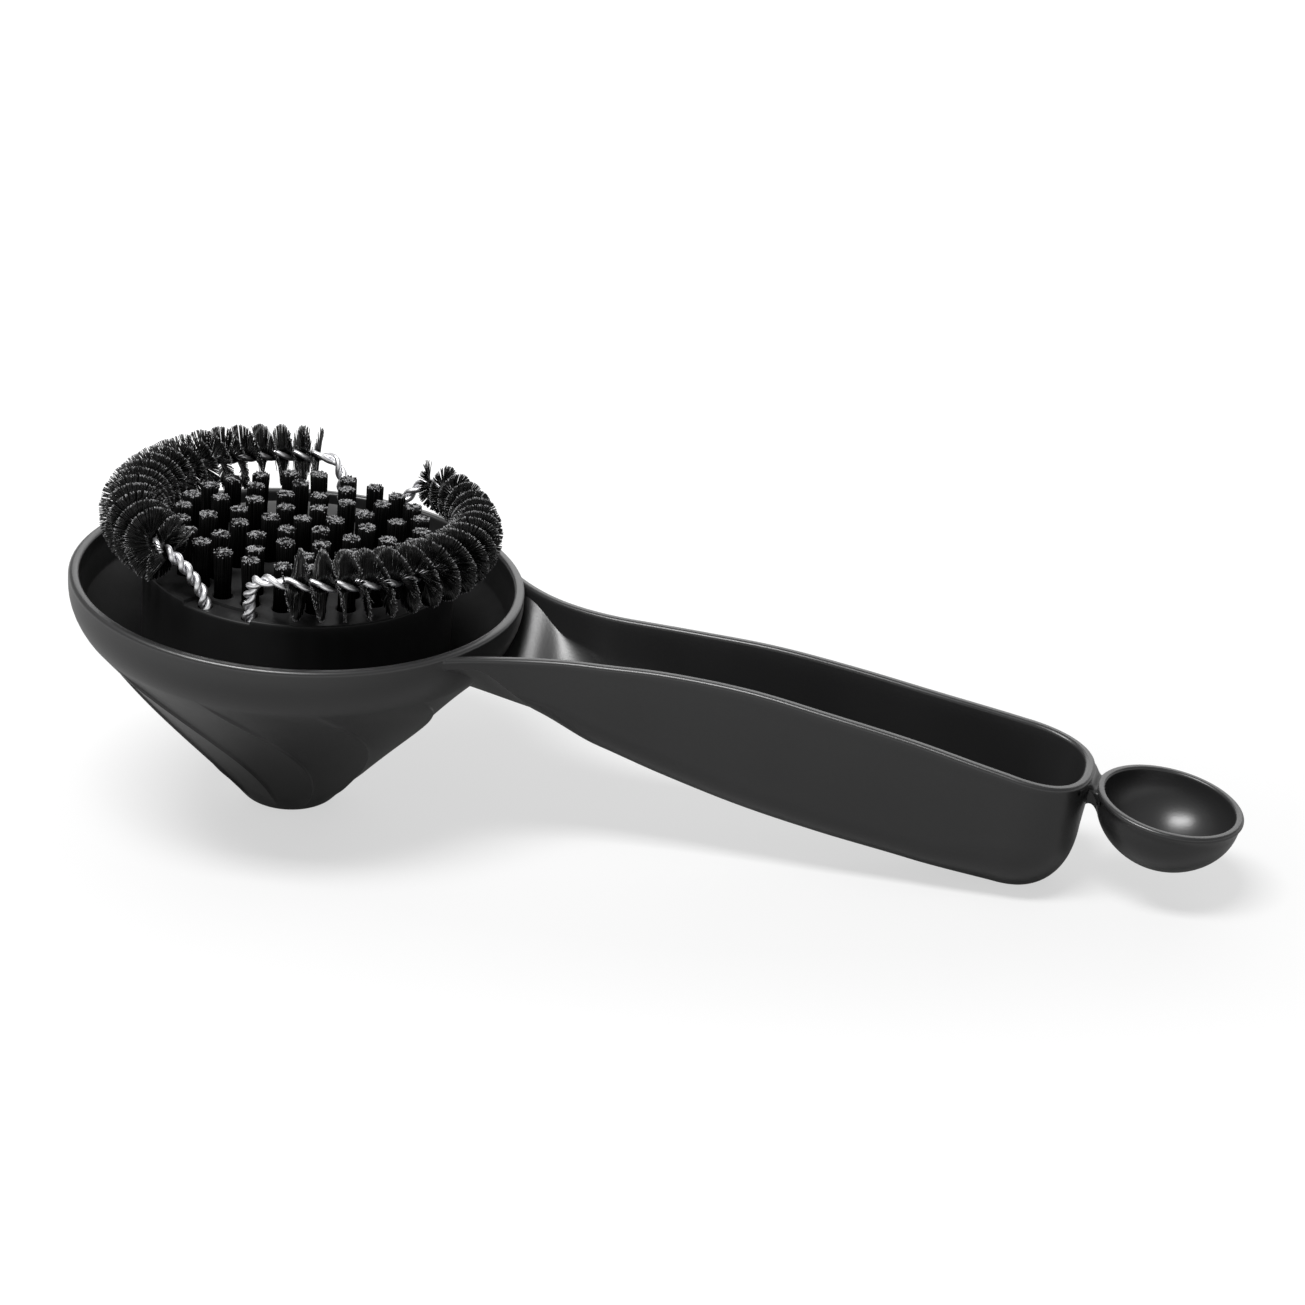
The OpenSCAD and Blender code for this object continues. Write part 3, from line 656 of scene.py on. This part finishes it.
def tuft_lines(centres, random):
    """Filament lines of a ring of tufts. Filament n of a tuft stands at radius root of
    (n + a half) over the count, at n times the golden angle, and leans out a little. The
    cut tips are level but for a low wave, a product of two sines, and some scatter. Wear
    lowers the edge by radius to the power 6 times a random share, so it looks uneven."""
    n = np.arange(FILAMENTS_A_TUFT)
    r = np.sqrt((n + 0.5) / len(n))
    angle = np.radians(n * GOLDEN_ANGLE)
    count = len(centres)
    root = np.stack([r * np.cos(angle), r * np.sin(angle)], -1)[None] * (TUFT_R - FILAMENT_R)
    root = root + random.normal(0, ROOT_SCATTER, (count, len(n), 2))
    lean = root * 0.08 + random.normal(0, LEAN_SCATTER, root.shape)
    lean = lean + random.normal(0, TUFT_LEAN, (count, 1, 2))
    t = np.linspace(0, 1, 3)[None, None, :, None]
    xy = centres[:, None, None] + root[:, :, None] + lean[:, :, None] * t ** 2
    wave = np.sin(root @ [2.6, 1.1] + random.uniform(0, 6, (count, 1)))
    wave = wave * np.sin(root @ [-1.2, 2.9])
    worn = TIP_WEAR * r ** 6 * random.uniform(0, 1, wave.shape) ** 2
    tip_z = CARRIER_TOP + TUFT_H - TIP_WAVE * (1 + wave)
    tip_z = tip_z - np.abs(random.normal(0, TIP_SCATTER, wave.shape)) - worn
    z = mix(CARRIER_TOP - IN_CARRIER, tip_z[..., None, None], t)
    return np.concatenate([xy, np.broadcast_to(z, xy.shape[:3] + (1,))], -1).reshape(-1, 3, 3)


tuft_pieces = []
for ring, node in enumerate(TUFT_NODES):
    random = np.random.default_rng(100 + ring)
    lines = tuft_lines(tuft_centres(ring), random)
    tuft = filaments(node + "_filaments", lines, FILAMENT_R, random)
    stand_for(tuft, "tufts", node)
    tuft_pieces.append(tuft)

# %% [markdown]
# ## The wires' path
#
# Each C-shaped brush is two steel wires twisted round each other, with bristles pinched
# between them. The path goes up from a foot, round the carrier and down to the other
# foot. Along it, the twist angle is the sum of short lengths times the rate of twist,
# which is tight in the feet and looser where the wires hold bristles.

# %% The wires' path and twist
WIRE_Z = CARRIER_TOP + 8.9
RING_R = 30.8
RING_SHIFT = [np.array([1.3, 0.3, 0]), np.array([0.2, 0, 0])]
HALF_TURN, FOOT_HALF_TURN = 4.0, 2.4
# Rows of RISE and FALL: degrees from the foot, share of the way out, share of the way up.
RISE = [np.array([[0, 0, 0.18], [0, 0.05, 0.36], [0.4, 0.28, 0.62],
                  [2.2, 0.62, 0.88], [6.2, 0.9, 1], [11, 1, 1]]),
        np.array([[1.6, 0, 0.2], [4.6, 0.1, 0.42], [8.2, 0.4, 0.7],
                  [12.5, 0.75, 0.92], [17, 0.97, 1], [21.5, 1, 1]])]
FALL = np.array([[1, 0, 0.2], [2, 0.15, 0.42], [3.4, 0.45, 0.72], [6, 0.78, 0.95], [10, 0.97, 1]])
BRISTLE_FIRST, BRISTLE_LAST = 7, 17.7
# For each side, in pins of the path: first and last bristle, where the trim starts and
# ends, and the share that it takes off.
TRIM = {1: (7, 18.6, 11.5, 16, 0.28), -1: (5, 17.7, 14.3, 17.7, 0.08)}


def wire_pins(side):
    """Pins of one wire's path, from its front foot to its back foot. side is 1 for the
    brush on the handle's side and -1 for the other."""
    w = 0 if side > 0 else 1
    start, end = FRONT_FEET[w], BACK_FEET[w]
    rise = RISE[w]

    def pins(angle, out, up):
        place = polar(mix(FOOT_R, RING_R, out), angle, mix(CARRIER_TOP, WIRE_Z, up))
        return place + out[:, None] * RING_SHIFT[w]

    one = np.ones(10)
    first, last = start + side * rise[5, 0], end - side * FALL[4, 0]
    ring = np.linspace(first, last, 12)[1:-1]
    foot_z = np.array([CARRIER_TOP - 3, CARRIER_TOP])
    return np.concatenate([
        polar(np.full(2, float(FOOT_R)), np.full(2, float(start)), foot_z),
        pins(start + side * rise[:, 0], rise[:, 1], rise[:, 2]), pins(ring, one, one),
        pins(end - side * FALL[::-1, 0], FALL[::-1, 1], FALL[::-1, 2]),
        polar(np.full(2, float(FOOT_R)), np.full(2, float(end)), foot_z[::-1])])


def across(vectors, forward):
    """The part of vectors that lies across forward, at length 1."""
    return unit(vectors - forward * np.sum(vectors * forward, 1)[:, None])


def wire_frame(side, count=1200):
    """The path as points, with two directions across it, the twist in radians and the
    path parameter. u points away from the bowl's axis, and v is the path times u."""
    pins = wire_pins(side)
    t = np.linspace(0, len(pins) - 1, count)
    path = curve_through(pins, t)
    step = np.gradient(path, axis=0)
    length = np.linalg.norm(step, axis=1)
    forward = step / length[:, None]
    u = across(unit(path * [1, 1, 0]), forward)
    v = np.cross(forward, u)
    loose = ease(BRISTLE_FIRST - 2, BRISTLE_FIRST, t)
    loose = loose * (1 - ease(BRISTLE_LAST + 1, BRISTLE_LAST + 3, t))
    twist = np.cumsum(length * np.pi / mix(FOOT_HALF_TURN, HALF_TURN, loose))
    return path, u, v, twist - twist[0], t, np.cumsum(length)


# %% [markdown]
# ## The twisted steel strands
#
# A strand is a round tube whose middle line is a helix round the path. Its sections
# must lie across the helix and not across the path, or the strand looks flattened, so
# they use the helix's own direction.

# %% The strands
STRAND_R, STRAND_OFF = 0.57, 0.61


def strand(name, side, half):
    """A tube of radius STRAND_R along the path plus STRAND_OFF times the direction that
    turns with the twist."""
    path, u, v, twist, _, _ = wire_frame(side)
    angle = (twist + math.pi * half + math.pi / 2)[:, None]
    spoke = u * np.cos(angle) + v * np.sin(angle)
    line = path + STRAND_OFF * spoke
    forward = unit(np.gradient(line, axis=0))
    a = across(spoke, forward)
    b = np.cross(forward, a)
    turn = np.linspace(0, 2 * np.pi, 14, endpoint=False)
    rings = line[:, None] + STRAND_R * (np.cos(turn)[None, :, None] * a[:, None]
                                        + np.sin(turn)[None, :, None] * b[:, None])
    return shade(solid_from_rings(name, rings), 60)


wire_pieces = []
for side, word in ((1, "right"), (-1, "left")):
    for half, letter in enumerate("ab"):
        wire = strand("wire_%s_%s_round" % (word, letter), side, half)
        stand_for(wire, "wire", "wire_%s_%s" % (word, letter))
        wire_pieces.append(wire)

# %% [markdown]
# ## The bristles of the wire brushes
#
# The twist turns every bristle that is pinched between the strands, so together they
# form a spiral staircase. Each bristle goes right through the wire and out on both
# sides. Its place along the wire sets its direction, with some scatter, because real
# bristles spread out and fill the space between the turns.

# %% The bristles
BRISTLE_R, BRISTLE_START = 6.5, 0.25
BRISTLE_THICK = 0.095
BRISTLES_A_MM = 68
TURN_SCATTER, REACH_SCATTER, DRIFT, BEND = 0.04, 0.022, 0.07, 0.06
STRAY_SHARE, STRAY, STRAY_AT_END = 0.07, 3.5, 2.5


def bristle_lines(side, random):
    """Bristle lines of one brush: from the wire outward, along the twist's direction
    there, bending a little and spreading towards the tip. Each brush is trimmed shorter
    toward its back end. One bristle in fourteen strays further, and so do the last ones."""
    path, u, v, twist, t, length = wire_frame(side, 4000)
    first, last, trim_start, trim_end, trim = TRIM[side]
    inside = np.flatnonzero((t >= first) & (t <= last))
    span = length[inside[-1]] - length[inside[0]]
    count = int(span * BRISTLES_A_MM)
    at = length[inside[0]] + (np.arange(count) + random.uniform(0, 1, count)) / count * span
    n = np.clip(np.searchsorted(length, at), inside[0], inside[-1])
    forward = unit(np.gradient(path, axis=0)[n])
    half = random.integers(0, 2, count) * np.pi
    stray = np.where(random.uniform(0, 1, count) < STRAY_SHARE, STRAY, 1)
    stray = stray + STRAY_AT_END * ease(last - 1.6, last, t[n])
    angle = (twist[n] + half + random.normal(0, TURN_SCATTER, count) * stray)[:, None]
    spoke = u[n] * np.cos(angle) + v[n] * np.sin(angle)
    around = np.cross(forward, spoke)
    reach = BRISTLE_R * (1 - trim * ease(trim_start, trim_end, t[n]))
    reach = reach * (1 - np.abs(random.normal(0, REACH_SCATTER, count)))
    s = np.linspace(0, 1, 4)[None, :, None]
    drift = (random.normal(0, DRIFT, count) * stray)[:, None, None] * forward[:, None]
    bend = (random.normal(0, BEND, count) * stray)[:, None, None] * around[:, None]
    out = BRISTLE_START + s * (reach[:, None, None] - BRISTLE_START)
    line = path[n][:, None] + spoke[:, None] * out
    return line + (drift + bend) * s ** 1.5


bristle_pieces = []
for side, word in ((1, "right"), (-1, "left")):
    random = np.random.default_rng(7 if side > 0 else 8)
    thick = BRISTLE_THICK * np.linspace(1, 0.8, 4)[None]
    brush = filaments("bristles_%s_filaments" % word, bristle_lines(side, random), thick, random)
    stand_for(brush, "bristles", "bristles_" + word)
    bristle_pieces.append(brush)

# %% [markdown]
# ## Finishes
#
# Four of the five finishes need some unevenness, so a node group makes it once: fine
# grain, for tiny bumps, and slow patches, for colour and gloss that drift over the
# surface. Each of them then places the group with its own sizes; on the tuft tops its
# patches are painted patchy light. The bristles need only the number that each one
# carries.

# %% A shared group for uneven surfaces
def uneven_group():
    """Fine noise and slow noise on the surface's own coordinates, each from 0 to 1. Both
    have an input for their scale and an output."""
    group = bpy.data.node_groups.new("uneven_surface", "ShaderNodeTree")
    nodes, links = group.nodes, group.links
    ask, give = nodes.new("NodeGroupInput"), nodes.new("NodeGroupOutput")
    coords = nodes.new("ShaderNodeTexCoord")
    for name, detail in (("Grain", 3.0), ("Patch", 2.0)):
        for word, way in ((name + " Scale", "INPUT"), (name, "OUTPUT")):
            group.interface.new_socket(name=word, in_out=way, socket_type="NodeSocketFloat")
        noise = nodes.new("ShaderNodeTexNoise")
        noise.inputs["Detail"].default_value = detail
        links.new(coords.outputs["Object"], noise.inputs["Vector"])
        links.new(ask.outputs[name + " Scale"], noise.inputs["Scale"])
        links.new(noise.outputs["Fac"], give.inputs[name])
    return group


UNEVEN = uneven_group()


def new_material(name, roughness, key, value):
    """A material with a Principled shader, its plain roughness and one more value."""
    material = bpy.data.materials.new(name)
    material.use_nodes = True
    shader = material.node_tree.nodes["Principled BSDF"]
    shader.inputs["Roughness"].default_value = roughness
    shader.inputs[key].default_value = value
    return material, shader


def add_uneven(material, grain_scale, patch_scale):
    """Places the uneven group in a material and returns its node."""
    node = material.node_tree.nodes.new("ShaderNodeGroup")
    node.node_tree = UNEVEN
    node.inputs["Grain Scale"].default_value = grain_scale
    node.inputs["Patch Scale"].default_value = patch_scale
    return node


def add_range(material, source, target, low, high, from_low=0.3, from_high=0.7):
    """Links source to target through a change of range, from one span to another."""
    node = material.node_tree.nodes.new("ShaderNodeMapRange")
    for key, value in (("From Min", from_low), ("From Max", from_high),
                       ("To Min", low), ("To Max", high)):
        node.inputs[key].default_value = value
    material.node_tree.links.new(source, node.inputs["Value"])
    material.node_tree.links.new(node.outputs["Result"], target)


def add_colours(material, factor, target, stops):
    """Links a factor to a colour socket through a ramp with grey stops (place, grey)."""
    ramp = material.node_tree.nodes.new("ShaderNodeValToRGB")
    elements = ramp.color_ramp.elements
    while len(elements) < len(stops):
        elements.new(0.5)
    for element, (place, grey) in zip(elements, stops):
        element.position = place
        element.color = (grey, grey, grey * 1.02, 1)
    material.node_tree.links.new(factor, ramp.inputs["Fac"])
    material.node_tree.links.new(ramp.outputs["Color"], target)


def add_bump(material, shader, height, strength, distance):
    """Links a height to the shader's normal through a Bump node. Distance is in metres."""
    bump = material.node_tree.nodes.new("ShaderNodeBump")
    bump.inputs["Strength"].default_value = strength
    bump.inputs["Distance"].default_value = distance
    material.node_tree.links.new(height, bump.inputs["Height"])
    material.node_tree.links.new(bump.outputs["Normal"], shader.inputs["Normal"])


def dress(pieces, material):
    """Gives a material to pieces."""
    for piece in pieces:
        piece.data.materials.clear()
        piece.data.materials.append(material)


# %% [markdown]
# ## Satin moulded plastic
#
# The moulding is black nylon or ABS with a fine satin texture. Satin is a matter of
# roughness: low enough for a soft highlight along each edge, high enough to show no
# mirror image. The plastic itself is close to black, and most of the grey that one sees
# is the bright room, mirrored softly. The patches change the roughness by a few
# hundredths, as real moulded surfaces do.

# %% Plastic of the moulding and the carrier
body_plastic, shader = new_material("satin_charcoal_plastic", 0.28, "Specular IOR Level", 0.72)
uneven = add_uneven(body_plastic, 2000, 45)
add_colours(body_plastic, uneven.outputs["Patch"], shader.inputs["Base Color"],
            [(0.2, 0.018), (0.8, 0.023)])
add_range(body_plastic, uneven.outputs["Patch"], shader.inputs["Roughness"], 0.31, 0.37, 0.2, 0.8)
add_bump(body_plastic, shader, uneven.outputs["Grain"], 0.4, 0.00003)
dress([bowl], body_plastic)

carrier_plastic, shader = new_material("satin_black_plastic", 0.42, "Specular IOR Level", 0.2)
uneven = add_uneven(carrier_plastic, 5200, 70)
add_colours(carrier_plastic, uneven.outputs["Patch"], shader.inputs["Base Color"],
            [(0.3, 0.013), (0.7, 0.018)])
add_range(carrier_plastic, uneven.outputs["Patch"], shader.inputs["Roughness"], 0.4, 0.48)
add_bump(carrier_plastic, shader, uneven.outputs["Grain"], 0.2, 0.00002)
dress([carrier], carrier_plastic)

# %% [markdown]
# ## Nylon filament and twisted steel
#
# Nylon filament is black along its length, and pale where a cutter has left it dull. So
# each material has two colours, and the stored distance along the filament chooses
# between them. The pale tops of the tufts are partly that dull cut and partly painted
# light from above. Their lighter and darker patches, under a millimetre wide, are
# painted patchy light. In the wire brushes each bristle's cut end differs from the next.
# The steel is bright, with a fine grain.

# %% Filaments and steel
def add_attribute(material, name):
    """Reads a number that was stored on the piece's points."""
    node = material.node_tree.nodes.new("ShaderNodeAttribute")
    node.attribute_name = name
    return node.outputs["Fac"]


def add_cut_ends_and_painted_light(material, shader, stem, variation, stops, start, end):
    """Blends from the stem's grey to the cut ends' greys, which the variation chooses,
    as the distance along the filament goes from start to end. On the tufts these greys
    are partly painted light from above."""
    blend = material.node_tree.nodes.new("ShaderNodeMix")
    blend.data_type = "RGBA"
    blend.inputs["A"].default_value = (stem, stem, stem, 1)
    add_colours(material, variation, blend.inputs["B"], stops)
    add_range(material, add_attribute(material, "along"), blend.inputs["Factor"], 0, 1,
              start, end)
    material.node_tree.links.new(blend.outputs["Result"], shader.inputs["Base Color"])


# Tuft tops: pale partly from the dull cut and partly painted light from above; the fine patches
# on them are painted patchy light.
tuft_nylon_cut_ends_and_painted_light, shader = new_material("tuft_nylon_cut_ends_and_painted_light", 0.45, "Specular IOR Level", 0.05)
uneven = add_uneven(tuft_nylon_cut_ends_and_painted_light, 3000, 1300)
add_cut_ends_and_painted_light(tuft_nylon_cut_ends_and_painted_light, shader, 0.002, uneven.outputs["Patch"],
             [(0.42, 0.01), (0.6, 0.5)], 0.985, 0.998)
add_range(tuft_nylon_cut_ends_and_painted_light, add_attribute(tuft_nylon_cut_ends_and_painted_light, "strand"), shader.inputs["Roughness"],
          0.35, 0.55, 0, 1)
dress(tuft_pieces, tuft_nylon_cut_ends_and_painted_light)

bristle_nylon, shader = new_material("bristle_nylon", 0.25, "Specular IOR Level", 0.35)
add_cut_ends_and_painted_light(bristle_nylon, shader, 0.004, add_attribute(bristle_nylon, "strand"),
             [(0.35, 0.04), (1.0, 0.45)], 0.95, 0.99)
add_range(bristle_nylon, add_attribute(bristle_nylon, "strand"), shader.inputs["Roughness"],
          0.18, 0.3, 0, 1)
dress(bristle_pieces, bristle_nylon)

steel, shader = new_material("twisted_steel", 0.42, "Metallic", 1.0)
uneven = add_uneven(steel, 2600, 300)
add_colours(steel, uneven.outputs["Patch"], shader.inputs["Base Color"],
            [(0.3, 0.85), (0.7, 0.95)])
add_range(steel, uneven.outputs["Grain"], shader.inputs["Roughness"], 0.34, 0.46)
add_bump(steel, shader, uneven.outputs["Grain"], 0.05, 0.00001)
dress(wire_pieces, steel)

# %% [markdown]
# ## Camera
#
# The camera stands where the photograph was taken from: a little above the tool, in
# front and to the right, about 45 cm away. Its direction is given by three angles, which
# are easier to read than a matrix.

# %% The camera
CAMERA_AT = (0.11811, -0.38408, 0.20953)
LOOK_LEFT, LOOK_DOWN, ROLL = 16.82, 23.23, -1.656
LENS, SENSOR = 66.2, 36


def camera_matrix(place, left, below, roll):
    """Columns right, up and back of a camera that looks along +Y turned left and tipped
    down by angles in degrees, then rolled about its own line of sight."""
    from mathutils import Matrix

    def turned(degrees, axis):
        return Matrix.Rotation(math.radians(degrees), 4, axis)

    look = turned(left, "Z") @ turned(90 - below, "X")
    return Matrix.Translation(place) @ look @ turned(roll, "Z")


camera = bpy.data.objects.new("camera", bpy.data.cameras.new("camera"))
bpy.context.scene.collection.objects.link(camera)
camera.data.sensor_fit, camera.data.sensor_width, camera.data.lens = "HORIZONTAL", SENSOR, LENS
camera.data.clip_start, camera.data.clip_end = 0.01, 20
camera.matrix_world = camera_matrix(CAMERA_AT, LOOK_LEFT, LOOK_DOWN, ROLL)
bpy.context.scene.camera = camera

# %% [markdown]
# ## Floor and light
#
# The photograph is lit in a white studio. Here that is a soft lamp overhead, a wider one
# behind the tool, and a white sweep that curves up all round. Black plastic shows mostly
# what it mirrors, so the surroundings matter more than the lamps. The sweep gives the
# sides their grey, and the dimmer world above keeps the inside of the trough dark. The
# lamps draw the bright rims and the soft patches in the trough and the scoop. Floor and
# sweep look white, and the floor still takes the tool's shadow.
# In reflections the floor's glow fades towards the tool. This is painted shade, and it darkens
# the undersides and sides that mirror the floor.

# %% Floor, lamps and world
FLOOR_GREY = 0.3
TOOL_SQUEEZE = 0.45
GLOW_START = 0.04
# Reflections see a much weaker glow by the tool: painted shade on the floor there.
GLOW_SEEN, MIRRORED_GLOW_PAINTED_SHADE = (0.6, 0.3), (0.05, 0.45)  # strength by the tool, full at (m)
SWEEP_START, SWEEP_R, SWEEP_ANGLE = 1.5, 1.0, 62
FLOOR_BELOW = 2e-5


def floor_material():
    """White floor: a plain diffuse colour for light, plus a glow for rays of the camera,
    of reflections and of transmission. The glow rises with the distance from the middle,
    in which x counts less because the tool is long. For reflections it starts far lower
    by the tool: painted shade on the floor beside it, which the plastic mirrors."""
    material = bpy.data.materials.new("white_floor")
    material.use_nodes = True
    nodes, links = material.node_tree.nodes, material.node_tree.links
    nodes.clear()
    out, both = nodes.new("ShaderNodeOutputMaterial"), nodes.new("ShaderNodeAddShader")
    matt, glow = nodes.new("ShaderNodeBsdfDiffuse"), nodes.new("ShaderNodeEmission")
    path, coords = nodes.new("ShaderNodeLightPath"), nodes.new("ShaderNodeTexCoord")
    squeezed, away = nodes.new("ShaderNodeVectorMath"), nodes.new("ShaderNodeVectorMath")
    matt.inputs["Color"].default_value = (FLOOR_GREY, FLOOR_GREY, FLOOR_GREY, 1)
    squeezed.operation, away.operation = "MULTIPLY", "LENGTH"
    squeezed.inputs[1].default_value = (TOOL_SQUEEZE, 1, 1)
    links.new(coords.outputs["Object"], squeezed.inputs[0])
    links.new(squeezed.outputs["Vector"], away.inputs[0])

    def math_node(operation, *sources):
        node = nodes.new("ShaderNodeMath")
        node.operation = operation
        for source, target in zip(sources, node.inputs):
            links.new(source, target)
        return node

    total = math_node("MAXIMUM")
    mirrored = math_node("MAXIMUM", path.outputs["Is Glossy Ray"],
                         path.outputs["Is Transmission Ray"]).outputs["Value"]
    rays = ((path.outputs["Is Camera Ray"], GLOW_SEEN), (mirrored, MIRRORED_GLOW_PAINTED_SHADE))
    for n, (ray, (near, reach)) in enumerate(rays):
        share = math_node("MULTIPLY", ray)
        add_range(material, away.outputs["Value"], share.inputs[1], near, 1.0, GLOW_START, reach)
        links.new(share.outputs["Value"], total.inputs[n])
    links.new(total.outputs["Value"], glow.inputs["Strength"])
    links.new(matt.outputs["BSDF"], both.inputs[0])
    links.new(glow.outputs["Emission"], both.inputs[1])
    links.new(both.outputs["Shader"], out.inputs["Surface"])
    return material


def white_sweep():
    """Floor and sweep in one, as a surface of revolution like an open dish: flat up to
    SWEEP_START from the middle, then rising along an arc of SWEEP_ANGLE degrees. It lies
    a hair below the tool. Lengths are in metres."""
    turn = np.radians(np.linspace(0, SWEEP_ANGLE, 12))
    rise = np.stack([SWEEP_START + SWEEP_R * np.sin(turn), SWEEP_R * (1 - np.cos(turn))], -1)
    profile = np.concatenate([[[0, 0], [0.5, 0], [1, 0]], rise])
    angle = np.linspace(0, 360, 96, endpoint=False)
    points = polar(profile[:, 0:1], angle[None], profile[:, 1:2] - FLOOR_BELOW)
    piece = new_mesh("floor", points.reshape(-1, 3), ring_faces(*points.shape[:2])[:, ::-1])
    merge_points(piece)
    piece.data.polygons.foreach_set("use_smooth", np.ones(len(piece.data.polygons), bool))
    return piece


def lamp(name, place, aim, width, height, power):
    """A soft box at a place, turned to face a point. Its sides are in metres."""
    from mathutils import Vector
    light = bpy.data.lights.new(name, "AREA")
    light.shape, light.size, light.size_y, light.energy = "RECTANGLE", width, height, power
    item = bpy.data.objects.new(name, light)
    bpy.context.scene.collection.objects.link(item)
    item.location = place
    item.rotation_euler = (Vector(aim) - Vector(place)).to_track_quat("-Z", "Y").to_euler()


floor = white_sweep()
floor.data.materials.append(floor_material())

lamp("overhead", (-0.13, -0.27, 0.85), (-0.13, 0, 0.02), 0.5, 0.2, 8)
lamp("back", (-0.08, 1.1, 0.6), (-0.08, 0, 0.04), 1.3, 0.6, 4.5)

world = bpy.data.worlds.new("studio")
bpy.context.scene.world = world
world.use_nodes = True
background = world.node_tree.nodes["Background"]
background.inputs["Color"].default_value = (1, 1, 1, 1)
background.inputs["Strength"].default_value = 0.3
bpy.context.scene.view_settings.view_transform = "Standard"
